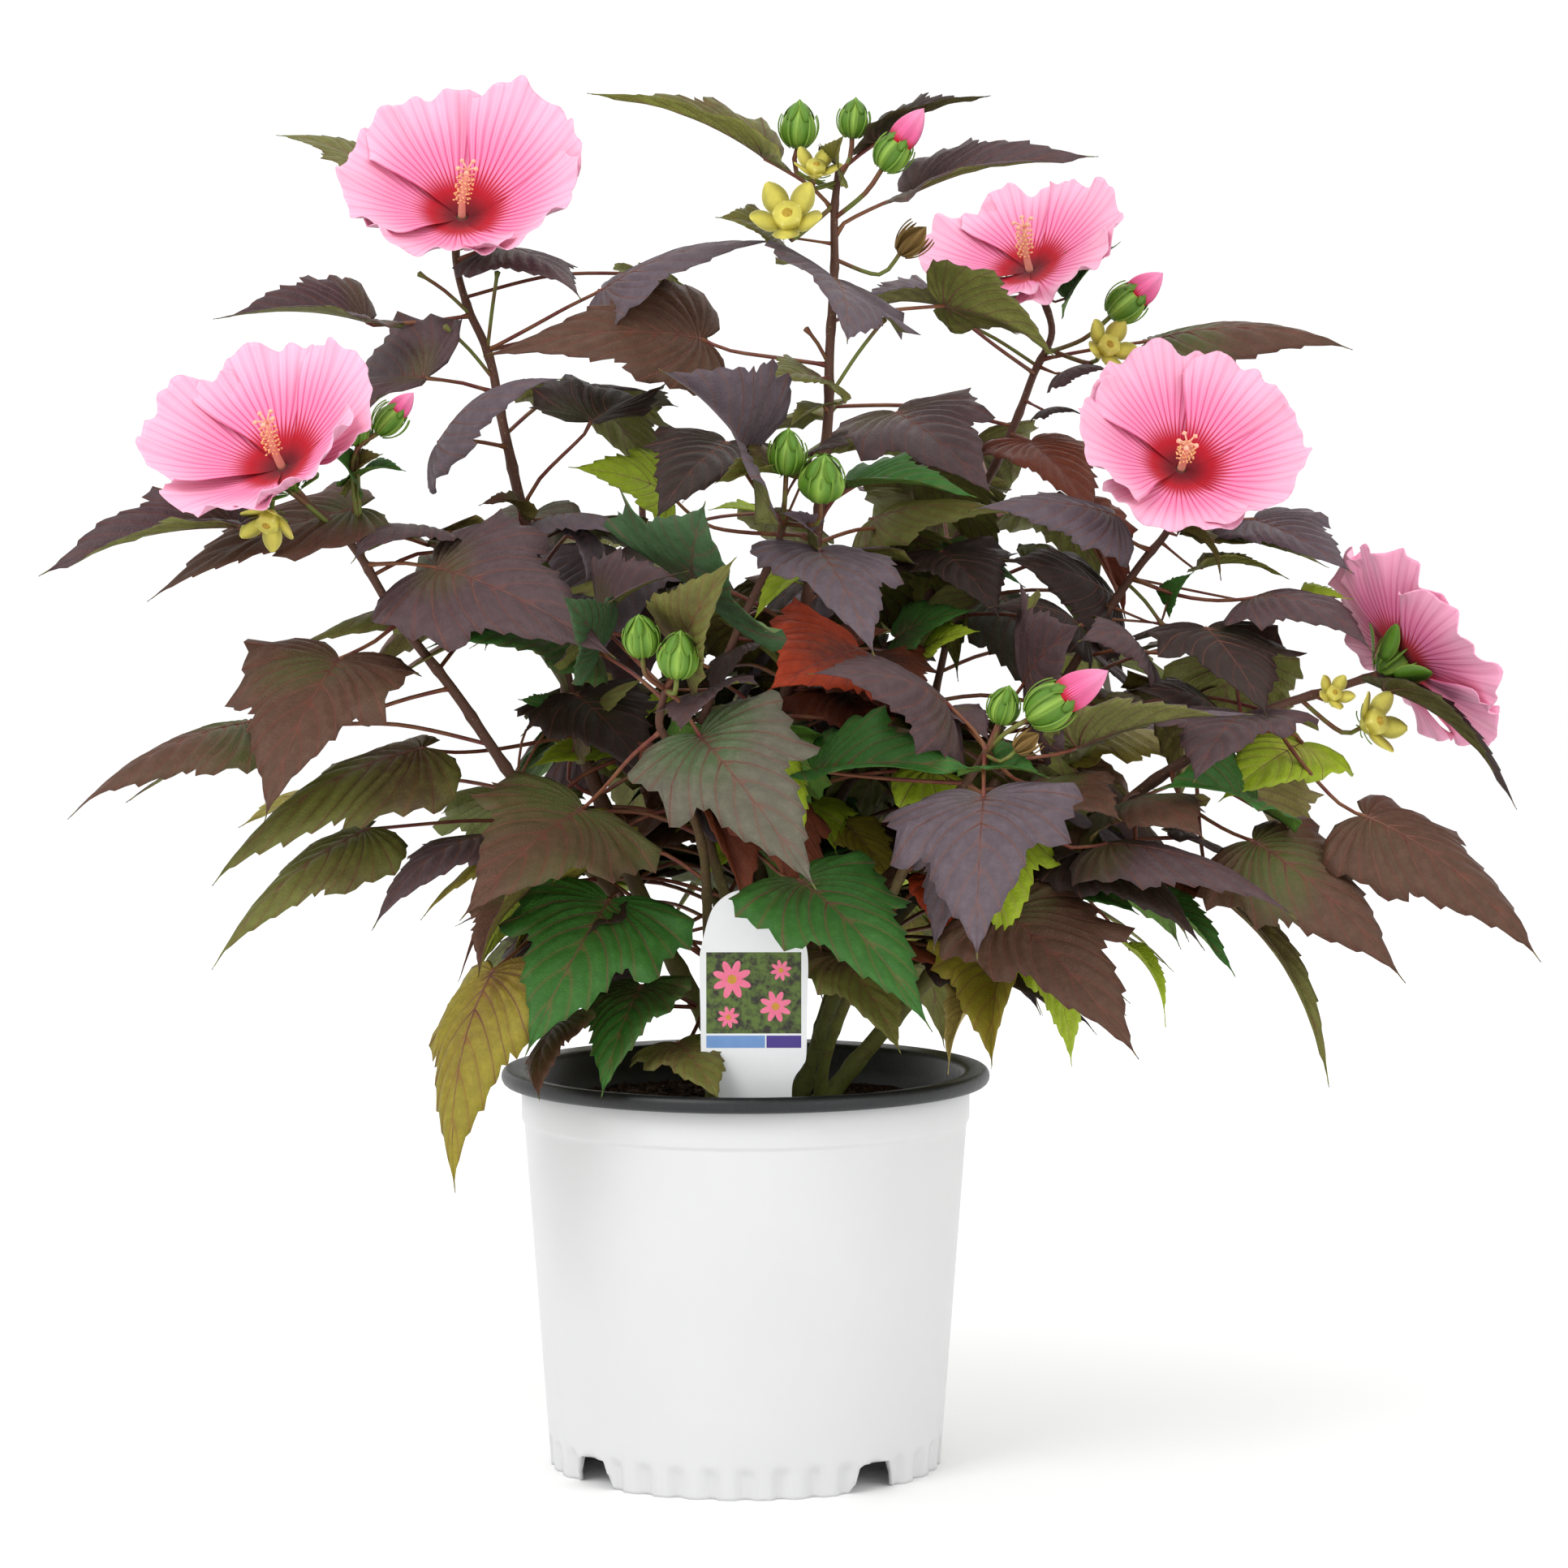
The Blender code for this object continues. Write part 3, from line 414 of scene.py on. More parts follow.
    ("centre", "stem_east_upright", (1418, 680), ((1385, 662),), (1372, 634), 20,
     (1200, 628), 92, 0.60, 0.85, "grey", "roof", 0.0),
    ("centre", "stem_inner_east", (1170, 685), (), (1165, 676), 60,
     (1260, 722), 60, 0.6, 0.7, "green", "open", 0.2),
    ("centre", "stem_inner_east", (1160, 705), ((1155, 690),), (1160, 680), 50,
     (1232, 764), 80, 0.85, 1.1, "dark", "open", 0.0),
    ("centre", "stem_east_upright", (1370, 750), ((1340, 740),), (1372, 736), 60,
     (1240, 690), 90, 0.7, 0.9, "dark", "roof", 0.1),
    ("centre", "stem_east_upright", (1360, 765), ((1350, 775),), (1330, 770), 20,
     (1222, 748), 74, 0.6, 0.9, "dark", "roof", 0.1),
    ("centre", "stem_front_east", (1216, 926), ((1235, 880),), (1262, 842), -40,
     (1330, 770), 84, 0.72, 1.5, "purple", "star", 0.0),
    ("centre", "stem_east_upright", (1330, 810), ((1380, 800),), (1405, 800), -10,
     (1330, 790), 70, 0.6, 0.9, "purple", "hang", 0.0),
    ("centre", "stem_inner_east", (1115, 800), ((1105, 790),), (1104, 785), 40,
     (1200, 752), 60, 0.7, 0.8, "green", "open", 0.3),
    ("centre", "stem_inner_east", (1115, 800), ((1130, 800),), (1140, 798), 30,
     (1205, 778), 44, 0.6, 0.8, "lime", "open", 0.1),
    ("low", "stem_front_east", (1216, 927), ((1215, 945),), (1208, 950), -126,
     (1292, 958), 50, 0.5, 0.9, "green", "boat", 0.1),
    ("east", "stem_east_upright", (1370, 752), ((1430, 770),), (1438, 745), 40,
     (1470, 705), 30, 0.7, 0.8, "green", "young", 0.0),
    ("east", "stem_east_upright", (1360, 765), ((1440, 770),), (1452, 785), 40,
     (1468, 812), 16, 0.7, 0.8, "green", "young", 0.0),
)


def unit(vectors):
    """Vectors made length 1."""
    vectors = np.asarray(vectors, float)
    return vectors / np.maximum(np.linalg.norm(vectors, axis=-1, keepdims=True), 1e-12)


def seen(px, py, depth_mm):
    """The point that the photograph shows at pixel (px, py), this many millimetres behind the pot's axis."""
    ray = FORWARD + RIGHT * ((px - MIDDLE_PIXEL) / FOCAL_PIXELS) + UP * ((MIDDLE_PIXEL - py) / FOCAL_PIXELS)
    return EYE + ray * ((depth_mm / MM_PER_M + CAMERA_DISTANCE) / ray[1])


def pixels_of(points):
    """Where points (n, 3) fall in the photograph, as (n, 2) pixels."""
    offset = np.asarray(points) - EYE
    away = offset @ FORWARD
    across = MIDDLE_PIXEL + FOCAL_PIXELS * (offset @ RIGHT) / away
    down = MIDDLE_PIXEL - FOCAL_PIXELS * (offset @ UP) / away
    return np.stack((across, down), axis=-1)


def smooth_path(marks, step):
    """Points about one step apart along a Catmull-Rom curve through the marks."""
    marks = np.asarray(marks, float)
    path = [marks[:1]]
    for k in range(len(marks) - 1):
        before, start, end = marks[max(k - 1, 0)], marks[k], marks[k + 1]
        after = marks[min(k + 2, len(marks) - 1)]
        parts = max(1, round(float(np.linalg.norm(end - start)) / step))
        t = np.arange(1, parts + 1)[:, None] / parts
        path.append(0.5 * (
            2.0 * start
            + (end - before) * t
            + (2.0 * before - 5.0 * start + 4.0 * end - after) * t ** 2
            + (3.0 * start - before - 3.0 * end + after) * t ** 3
        ))
    return np.concatenate(path)


def ramp(low, high, values):
    """A smooth step from 0 at `low` to 1 at `high`."""
    share = np.clip((values - low) / (high - low), 0.0, 1.0)
    return share * share * (3.0 - 2.0 * share)


class Value:
    """A number or colour that varies over a surface; sums with it are written as plain Python sums."""

    def __init__(self, finish, socket):
        self.finish = finish
        self.socket = socket

    def maths(self, operation, *inputs):
        """A Math node with this operation."""
        return self.finish.node("ShaderNodeMath", {"operation": operation}, dict(enumerate(inputs)))

    def __add__(self, other):
        return self.maths("ADD", self, other)

    __radd__ = __add__

    def __sub__(self, other):
        return self.maths("SUBTRACT", self, other)

    def __rsub__(self, other):
        return self.maths("SUBTRACT", other, self)

    def __mul__(self, other):
        return self.maths("MULTIPLY", self, other)

    __rmul__ = __mul__

    def __pow__(self, other):
        return self.maths("POWER", self, other)

    def sine(self):
        """Its sine, from an angle in radians."""
        return self.maths("SINE", self)

    def size(self):
        """Its size without the sign."""
        return self.maths("ABSOLUTE", self)

    def between(self, low, high):
        """0 below `low`, 1 above `high`, and a smooth step in the middle."""
        settings = {"interpolation_type": "SMOOTHSTEP"}
        sockets = {"Value": self, "From Min": low, "From Max": high}
        return self.finish.node("ShaderNodeMapRange", settings, sockets)


class Finish:
    """A material made of nodes, with one Principled surface."""

    def __init__(self, name, **surface):
        self.material = bpy.data.materials.new(name)
        self.material.use_nodes = True
        self.tree = self.material.node_tree
        self.tree.nodes.clear()
        output = self.tree.nodes.new("ShaderNodeOutputMaterial")
        self.surface = self.tree.nodes.new("ShaderNodeBsdfPrincipled")
        self.tree.links.new(self.surface.outputs[0], output.inputs[0])
        self.wear(**surface)

    def put(self, socket, value):
        """Sets a socket to a number or colour, or links a value to it."""
        if isinstance(value, Value):
            self.tree.links.new(value.socket, socket)
        else:
            socket.default_value = value

    def node(self, kind, settings=None, inputs=None, output=0):
        """A node of this kind with its settings, then its inputs, by name or number."""
        made = self.tree.nodes.new(kind)
        for key, value in (settings or {}).items():
            setattr(made, key, value)
        for key, value in (inputs or {}).items():
            self.put(made.inputs[key], value)
        return Value(self, made.outputs[output])

    def wear(self, **surface):
        """Sets the Principled surface's sockets, named with underscores for spaces."""
        for key, value in surface.items():
            self.put(self.surface.inputs[key.replace("_", " ").title().replace("Ior", "IOR")], value)

    def place(self):
        """Object coordinates."""
        return self.node("ShaderNodeTexCoord", output="Object")

    def mark(self, name):
        """A number stored on the piece's points."""
        return self.node("ShaderNodeAttribute", {"attribute_name": name}, output="Fac")

    def mix(self, factor, first, second):
        """A colour between two."""
        return self.node("ShaderNodeMix", {"data_type": "RGBA"}, {0: factor, 6: first, 7: second}, 2)

    def noise(self, scale, detail=3.0, rough=0.55):
        """Cloudy noise from 0 to 1 at this scale per metre."""
        sockets = {"Vector": self.place(), "Scale": scale, "Detail": detail, "Roughness": rough}
        return self.node("ShaderNodeTexNoise", {}, sockets)

    def cells(self, scale, feature="DISTANCE_TO_EDGE"):
        """Distance to the edges of a net of cells at this scale per metre."""
        sockets = {"Vector": self.place(), "Scale": scale}
        return self.node("ShaderNodeTexVoronoi", {"feature": feature}, sockets)

    def bump(self, height, strength, distance):
        """Relief of this height in metres."""
        sockets = {"Height": height, "Strength": strength, "Distance": distance}
        self.wear(normal=self.node("ShaderNodeBump", {}, sockets))


def paint(red, green, blue):
    """A colour as a painter's 0 to 255 values, made linear."""
    return tuple((value / 255.0) ** 2.2 for value in (red, green, blue)) + (1.0,)


# Relief of a two-coloured skin (m)
GRAIN_HEIGHT = 0.0004


def two_tone(name, specular, scale, first, second, gloss, blend=None, spread=0.0, grain=None):
    """Skin of two colours that drift into each other with cloudy noise, which varies the gloss by `spread`.

    `blend` narrows the drift to a step, and `grain` is the scale and strength of the relief.
    """
    finish = Finish(name, specular_ior_level=specular)
    tone = finish.noise(scale)
    share = tone.between(*blend) if blend else tone
    colour = finish.mix(share, paint(*first), paint(*second))
    finish.wear(base_color=colour, roughness=tone * spread + gloss if spread else gloss)
    if grain:
        fineness, strength = grain
        finish.bump(finish.noise(fineness), strength, GRAIN_HEIGHT)
    return finish


class Sheaf:
    """Gathers small surfaces and joins them as one piece."""

    def __init__(self, finishes):
        self.finishes = finishes
        self.names = list(finishes)
        self.points, self.corners, self.sizes, self.kinds = [], [], [], []
        self.marks, self.tiles = [], []
        self.count = 0

    def add(self, points, faces, finish, marks=None, tile=None):
        """Adds points (n, 3) and faces (m, 3 or 4), `marks` (n, 2) for the finish and `tile` for the map."""
        points = np.asarray(points, float).reshape(-1, 3)
        faces = np.asarray(faces, np.int64)
        self.points.append(points)
        marks = np.zeros((len(points), 2)) if marks is None else np.asarray(marks)
        self.marks.append(marks.reshape(-1, 2))
        self.count += len(points)
        self.more(faces + self.count - len(points), finish, tile)

    def more(self, faces, finish, tile=None):
        """Adds faces on points that are already there."""
        self.corners.append(faces.reshape(-1))
        self.sizes.append(np.full(len(faces), faces.shape[1]))
        self.kinds.append(np.full(len(faces), self.names.index(finish)))
        tile = np.zeros((faces.size, 2)) if tile is None else np.asarray(tile, float)
        self.tiles.append(tile.reshape(-1, 2))

    def piece(self, name, slot, replaced=(), tiled=False, smooth=True):
        """Makes the joined mesh, which rides on the one body; `slot` is not used."""
        points = np.concatenate(self.points)
        corners = np.concatenate(self.corners)
        sizes = np.concatenate(self.sizes)
        mesh = bpy.data.meshes.new(name)
        mesh.vertices.add(len(points))
        mesh.vertices.foreach_set("co", points.astype(np.float32).ravel())
        mesh.loops.add(len(corners))
        mesh.loops.foreach_set("vertex_index", corners.astype(np.int32))
        mesh.polygons.add(len(sizes))
        starts = np.concatenate(([0], np.cumsum(sizes)[:-1]))
        mesh.polygons.foreach_set("loop_start", starts.astype(np.int32))
        mesh.polygons.foreach_set("material_index", np.concatenate(self.kinds).astype(np.int32))
        mesh.polygons.foreach_set("use_smooth", np.full(len(sizes), smooth))
        marks = np.concatenate(self.marks)
        if marks.any():
            for column, title in enumerate(("along", "across")):
                layer = mesh.attributes.new(title, "FLOAT", "POINT")
                layer.data.foreach_set("value", marks[:, column].astype(np.float32))
        if tiled:
            layer = mesh.uv_layers.new(name="OFBake")
            layer.data.foreach_set("uv", np.concatenate(self.tiles).astype(np.float32).ravel())
        for finish in self.finishes.values():
            mesh.materials.append(finish.material)
        mesh.update(calc_edges=True)
        mesh.validate()
        made = bpy.data.objects.new(name, mesh)
        bpy.context.scene.collection.objects.link(made)
        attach(made, "root")
        if replaced:
            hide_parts(*replaced)


def grid_faces(rows, columns, wrapped=False):
    """Quads of a grid of points, row by row; the last column meets the first where it is wrapped."""
    across = columns if wrapped else columns - 1
    i, j = np.meshgrid(np.arange(rows - 1), np.arange(across), indexing="ij")
    n = (j + 1) % columns
    corners = (i * columns + j, i * columns + n, (i + 1) * columns + n, (i + 1) * columns + j)
    return np.stack(corners, -1).reshape(-1, 4)


def closed_faces(rows, columns):
    """Quads of a wrapped grid whose last row meets its first."""
    ring = np.arange(columns)
    turn = (ring + 1) % columns
    far = (rows - 1) * columns
    last = np.stack((far + ring, far + turn, turn, ring), -1)
    return np.concatenate((grid_faces(rows, columns, wrapped=True), last))


def close_ends(sheaf, rows, sides, finish):
    """Fans from the last two points added to the first and the last ring of the wrapped grid before them."""
    start = sheaf.count - rows * sides - 2
    ring = np.arange(sides)
    turn = (ring + 1) % sides
    far = (rows - 1) * sides
    first = np.stack((np.full(sides, rows * sides), turn, ring), -1)
    last = np.stack((np.full(sides, rows * sides + 1), far + ring, far + turn), -1)
    sheaf.more(np.concatenate((first, last)) + start, finish)


def tube(sheaf, path, radii, finish, sides=8, relief=1.0):
    """A round tube: circles of the given radii across the path, closed by a low cone at each end."""
    path = np.asarray(path, float)
    rows = len(path)
    radii = np.broadcast_to(np.asarray(radii, float), (rows,))
    tangent = unit(np.gradient(path, axis=0))
    axis = np.eye(3)[np.argmin(np.abs(tangent).max(axis=0))]
    side = unit(np.cross(tangent, axis))
    other = np.cross(tangent, side)
    angle = 2.0 * np.pi * np.arange(sides) / sides
    spread = radii[:, None] * relief
    ring = side[:, None] * np.cos(angle)[None, :, None] + other[:, None] * np.sin(angle)[None, :, None]
    points = path[:, None] + ring * (spread * np.ones((rows, sides)))[..., None]
    ends = np.stack((path[0] - tangent[0] * radii[0] * 0.5, path[-1] + tangent[-1] * radii[-1] * 0.5))
    points = np.concatenate((points.reshape(-1, 3), ends))
    share = np.linspace(0.0, 1.0, rows)
    marks = np.concatenate((np.repeat(share, sides), (share[0], share[-1])))
    marks = np.stack((marks, np.concatenate((np.tile(angle / (2 * np.pi), rows), (0.0, 0.0)))), -1)
    sheaf.add(points, grid_faces(rows, sides, wrapped=True), finish, marks)
    close_ends(sheaf, rows, sides, finish)


# Border of a tile of the map (share of its side)
TILE_BORDER = 0.04
# Blade: rows of veins from the base to the tip, and columns on each side of the midrib
BLADE_ROWS = 37
BLADE_COLUMNS = 6
BLADE_THICKNESS = 0.00034
# Outline of a blade of length 1: share of the rows, where the vein leaves the midrib, its angle (degrees) and
# its length
OUTLINE = np.array((
    (0.00, 0.000, 160, 0.20), (0.10, 0.005, 134, 0.33), (0.20, 0.012, 108, 0.40), (0.30, 0.020, 84, 0.43),
    (0.38, 0.030, 66, 0.46), (0.44, 0.040, 55, 0.50), (0.50, 0.065, 50, 0.50), (0.58, 0.15, 50, 0.47),
    (0.68, 0.30, 48, 0.40), (0.78, 0.47, 43, 0.31), (0.88, 0.67, 36, 0.19), (0.95, 0.84, 26, 0.095),
    (1.00, 0.975, 10, 0.025),
))
# Swellings of the outline: middle (share of the rows), width and height (share of the blade's length)
SIDE_LOBE = (0.44, 0.05, 0.11)
WAIST = (0.60, 0.08, -0.055)
BASE_LOBE = (0.20, 0.05, 0.03)
# Every third row is a vein: its tooth, and how high the blade is quilted there, as shares of the most
TOOTH_SHARES = np.array((1.0, 0.0, 0.5))
TOOTH_DEPTH = 0.075
QUILT_SHARES = np.array((0.0, 0.85, 1.0))
QUILT_HEIGHT = 0.019
WAVE_GAIN = 1.5
# Degrees by which a vein bends towards the tip on its way out
VEIN_SWEEP = 16.0


def swelling(u, middle, width, height):
    """A bell of this height over u."""
    return height * np.exp(-((u - middle) / width) ** 2)


def blade(habit, width, chance):
    """A toothed, lobed blade of length 1 on a grid of vein lines, bent as its habit says.

    Flat place: the vein's origin on the midrib plus its length times the share across, at the vein's angle.
    The cross-section is an arc that starts at the fold and curls; the midrib is an arc of the droop.
    """
    fold, droop, curl, twist, lobes, wave = habit
    rows, columns = BLADE_ROWS, 2 * BLADE_COLUMNS + 1
    u = np.linspace(0.0, 1.0, rows)
    origin, angle, length = (np.interp(u, OUTLINE[:, 0], OUTLINE[:, k]) for k in (1, 2, 3))
    lobes *= chance.uniform(0.7, 1.2)
    shape = swelling(u, *SIDE_LOBE) + swelling(u, *WAIST) + swelling(u, *BASE_LOBE)
    third = np.arange(rows) % 3
    tooth = TOOTH_SHARES[third] * TOOTH_DEPTH * chance.uniform(0.5, 1.5, rows)
    v = np.linspace(-1.0, 1.0, columns)
    share = np.abs(v)
    sides = np.where(v < 0, chance.uniform(0.92, 1.05), chance.uniform(0.92, 1.05))
    reach = (length + lobes * shape)[:, None] * (1.0 + tooth[:, None] * (share > 0.99)) * sides
    bearing = np.radians(angle[:, None] - VEIN_SWEEP * share)
    x = origin[:, None] + reach * share * np.cos(bearing)
    y = np.sign(v) * reach * share * np.sin(bearing) * width
    y = y + chance.normal(0.0, 0.05) * x ** 2
    s = np.abs(y)
    rise = math.radians(fold * chance.uniform(0.8, 1.2)) * (0.7 + 0.6 * np.clip(x, 0.0, 1.0))
    bow = curl * chance.uniform(0.7, 1.3) + 1e-3
    flat = np.sign(y) * (np.sin(rise) - np.sin(rise - bow * s)) / bow
    lift = (np.cos(rise - bow * s) - np.cos(rise)) / bow
    bulge = QUILT_SHARES[third][:, None] * np.sin(np.pi * np.clip(share, 0.0, 1.0)) ** 0.6
    lift = lift + QUILT_HEIGHT * bulge * np.clip(reach / 0.3, 0.1, 1.0)
    phase = chance.uniform(0.0, 6.28, 2)
    ripple = np.sin(x * 9.0 + np.where(v < 0, phase[0], phase[1])) + 0.5 * np.sin(x * 23.0 + phase[1])
    lift = lift + WAVE_GAIN * wave * (s / 0.4) ** 2 * ripple
    spin = math.radians(twist * chance.uniform(-1.0, 1.0)) * x
    flat, lift = flat * np.cos(spin) - lift * np.sin(spin), flat * np.sin(spin) + lift * np.cos(spin)
    bend = math.radians(droop * chance.uniform(0.8, 1.25))
    curve = bend * x * (0.6 + 0.4 * np.clip(x, 0.0, 1.0))
    centre_x = np.sin(curve) / bend
    centre_z = (np.cos(curve) - 1.0) / bend
    points = np.stack((centre_x + lift * np.sin(curve), flat, centre_z + lift * np.cos(curve)), -1)
    rib = np.where(third == 0, 1.0, 0.0)[:, None] * np.ones(columns)
    rib[:, BLADE_COLUMNS] = 1.0
    noise = 0.22 * np.sin(7.0 * x + phase[0] * 3) + 0.22 * np.sin(9.0 * y + phase[1] * 3 + 3.0 * x)
    distance = np.hypot(x - 0.1, y) * 1.6
    return points, rib, distance + noise


def planted(unit_blade, junction, tip, face):
    """The blade scaled, turned and moved so that it runs from junction to tip with its face this way."""
    middle = unit_blade[:, BLADE_COLUMNS]
    chord = middle[-1] - middle[0]
    first = unit(chord)
    second = np.array((0.0, 1.0, 0.0))
    second = unit(second - first * (second @ first))
    local = np.stack((first, second, np.cross(first, second)))
    span = tip - junction
    along = unit(span)
    normal = unit(face - along * (face @ along))
    world = np.stack((along, np.cross(normal, along), normal))
    scale = np.linalg.norm(span) / np.linalg.norm(chord)
    return junction + ((unit_blade - middle[0]) @ local.T @ world) * scale


def tile_of(number, across):
    """Low corner and side of one of `across` squared tiles of the piece's map, inside a thin border."""
    side = 1.0 / across
    corner = np.array((number % across, number // across)) * side
    return corner + side * TILE_BORDER, side * (1.0 - 2.0 * TILE_BORDER)


def blade_surface(sheaf, points, marks, top, under, tiles):
    """A closed sheet: upper face, lower face a thickness below it, and a strip round the margin."""
    rows, columns = points.shape[:2]
    normal = unit(np.cross(np.gradient(points, axis=0), np.gradient(points, axis=1)))
    thin = np.stack((points, points - normal * BLADE_THICKNESS))
    faces = grid_faces(rows, columns)[:, ::-1]
    lower = np.roll(faces[:, ::-1], 1, axis=1) + rows * columns
    shares = np.meshgrid(np.linspace(0, 1, rows), np.linspace(0, 1, columns), indexing="ij")
    grid = np.stack(shares, -1).reshape(-1, 2)
    upper_tile, lower_tile = (corner + grid * side for corner, side in tiles)
    both = np.concatenate((marks.reshape(-1, 2), marks.reshape(-1, 2)))
    sheaf.add(thin, faces, top, both, upper_tile[faces])
    start = sheaf.count - 2 * rows * columns
    sheaf.more(lower + start, under, lower_tile[lower - rows * columns])
    index = np.arange(rows * columns).reshape(rows, columns)
    edge = np.concatenate((index[:, 0], index[-1, 1:], index[-2::-1, -1], index[0, -2:0:-1]))
    after = np.roll(edge, -1)
    strip = np.stack((edge + rows * columns, after + rows * columns, after, edge), -1)
    ring = np.stack((edge, after, after, edge), -1)
    sheaf.more(strip + start, top, upper_tile[ring])


def leaf_finish(name, main, second, vein, gloss=0.52, net=0.35):
    """Leaf skin: a base colour that turns to a second in patches, vein lines, cloudy bloom and a fine net."""
    finish = Finish(name, specular_ior_level=0.42)
    patch = finish.mark("across") + finish.noise(28.0) * 0.35
    colour = finish.mix(patch.between(0.45, 1.35), paint(*main), paint(*second))
    mottle = finish.noise(150.0, 5.0, 0.65)
    paler = paint(*(min(255, c * 1.28 + 8) for c in main))
    colour = finish.mix(mottle.between(0.35, 0.75) * 0.35, colour, paler)
    rib = finish.mark("along") ** 5.0
    colour = finish.mix(rib * 0.6, colour, paint(*vein))
    finish.wear(base_color=colour, roughness=gloss + finish.noise(90.0) * 0.22)
    mesh = finish.cells(420.0).between(0.0, 0.22)
    finish.bump(mesh * 0.6 + finish.noise(700.0, 3.0) * 0.6 - rib * 0.8, net, 0.0006)
    return finish


# Tints of the upper face: colour, second colour and veins (0 to 255); then the underside's colour and veins
TINTS = {
    "purple": ((74, 56, 58), (84, 76, 44), (104, 62, 56), (104, 106, 48), (96, 60, 50)),
    "grey": ((86, 74, 80), (92, 84, 74), (112, 78, 74), (112, 112, 60), (104, 74, 64)),
    "dark": ((44, 30, 24), (52, 54, 26), (78, 44, 38), (74, 72, 34), (80, 48, 40)),
    "bronze": ((80, 54, 40), (74, 82, 38), (108, 58, 44), (108, 100, 46), (104, 60, 46)),
    "olive": ((96, 96, 42), (84, 62, 42), (118, 78, 50), (124, 128, 58), (122, 86, 56)),
    "moss": ((88, 84, 70), (72, 92, 56), (112, 70, 60), (108, 116, 62), (100, 70, 56)),
    "green": ((46, 92, 30), (60, 66, 30), (104, 84, 48), (84, 120, 44), (104, 92, 50)),
    "bluegreen": ((58, 86, 52), (76, 78, 52), (100, 74, 62), (92, 118, 66), (100, 82, 62)),
    "lime": ((150, 172, 36), (176, 176, 70), (176, 170, 84), (164, 182, 60), (182, 176, 90)),
    "yellow": ((128, 116, 32), (104, 74, 34), (128, 84, 46), (140, 132, 48), (128, 92, 52)),
    "red": ((164, 56, 22), (92, 40, 22), (120, 34, 26), (150, 74, 34), (112, 48, 34)),
    "rust": ((100, 46, 22), (62, 36, 24), (104, 44, 32), (112, 66, 32), (98, 52, 38)),
    "straw": ((164, 146, 82), (124, 92, 48), (150, 120, 74), (168, 150, 92), (146, 116, 74)),
}
LEAF_SEED = 417
# Leaf stalks (m): spacing of their points and radius, which is smaller on a leaf of up to SMALL_LEAF (mm)
STALK_STEP = 0.009
STALK_RADIUS = 0.0012
SMALL_STALK_RADIUS = 0.0008
SMALL_LEAF = 60
# A shorter blade has veins as thick as one of this length (m)
SHORTEST_RIB = 0.03
# Raised veins: row of the blade and radius at the midrib; then the midrib's radius at its foot and how much
# of it is lost towards the tip (shares of the blade's length)
SIDE_VEINS = ((9, 0.0062), (15, 0.0062), (21, 0.0042), (24, 0.0042))
MIDRIB = (0.0085, 0.0068)
# Hidden leaves: rounds up every stem, turn from one to the next (degrees) and how much it strays (radians),
# first leaf and spacing (m), reach and rise of the stalk (m), then the blade's length (m), dip (degrees),
# width and share turned to the second colour
RULE_ROUNDS = 5
GOLDEN_TURN = 137.5
RULE_STRAY = 0.4
RULE_START = 0.07
RULE_SPACING = 0.017
RULE_REACH = (0.045, 0.115)
RULE_RISE = (0.0, 0.035)
RULE_LENGTH = (0.082, 0.118)
RULE_DIP = (14.0, 62.0)
RULE_WIDTH = (0.8, 1.05)
RULE_TURNED = (0.0, 0.4)
RULE_HABITS = ("open", "roof", "hang", "star", "boat")
RULE_TINTS = ("purple", "purple", "bronze", "bronze", "grey", "dark", "olive", "moss")
# Below this height some hidden leaves are green, yellow or rusty
LOW_HEIGHT = 0.40
LOW_SHARE = 0.45
LOW_TINTS = ("green", "olive", "lime", "yellow", "rust")
# Where a hidden leaf may be (m): how far past the solids' box, how low, how low near the rim and how far from
# the axis below that; then the share of it that others hide and the room that it keeps
RULE_PAST_BOX = 0.004
RULE_LOWEST = 0.17
OVER_RIM = 0.235
PAST_RIM = 0.15
RULE_HIDDEN = 0.80
RULE_ROOM = 0.034
# Behind this depth (m) a hidden leaf belongs to the back piece
BACK_DEPTH = 0.10


def stem_paths():
    """Each stem's smooth line in metres, with its radius at every point."""
    paths = {}
    for name, (foot, tip, marks) in STEMS.items():
        points = np.array([seen(*mark) for mark in marks])
        if name.startswith("stem"):
            points[0, 2] = SOIL_TOP - 0.002
        path = smooth_path(points, 0.004)
        lengths = np.concatenate(([0.0], np.cumsum(np.linalg.norm(np.diff(path, axis=0), axis=1))))
        radius = (foot + (tip - foot) * lengths / lengths[-1]) / MM_PER_M
        paths[name] = (path, radius, lengths)
    return paths


def stem_point(stems, stem, join):
    """The point of a stem's line that the photograph shows nearest to the pixel `join`."""
    path = stems[stem][0]
    return path[np.argmin(np.linalg.norm(pixels_of(path) - np.asarray(join), axis=1))]


def leaf_pose(junction, tip_pixel, size, openness):
    """The tip's place and the blade's normal, from its pixel, its length and how far it turns to the front.

    The tip lies nearer than the junction by the side of a triangle whose long side is the blade's length.
    The normal mixes the way to the camera and the upward way across the blade, both square to the blade.
    """
    depth = junction[1] * MM_PER_M
    flat = seen(*tip_pixel, depth)
    apparent = np.linalg.norm(flat - junction)
    wanted = abs(size) / MM_PER_M
    extra = math.sqrt(max(0.0, wanted ** 2 - apparent ** 2)) * math.copysign(1.0, size)
    tip = seen(*tip_pixel, depth - extra * MM_PER_M)
    along = unit(tip - junction)
    toward = unit(-FORWARD + along * (FORWARD @ along))
    upward = np.cross(along, toward)
    if upward[2] < 0:
        upward = -upward
    return tip, toward * openness + upward * math.sqrt(max(0.0, 1.0 - openness ** 2))


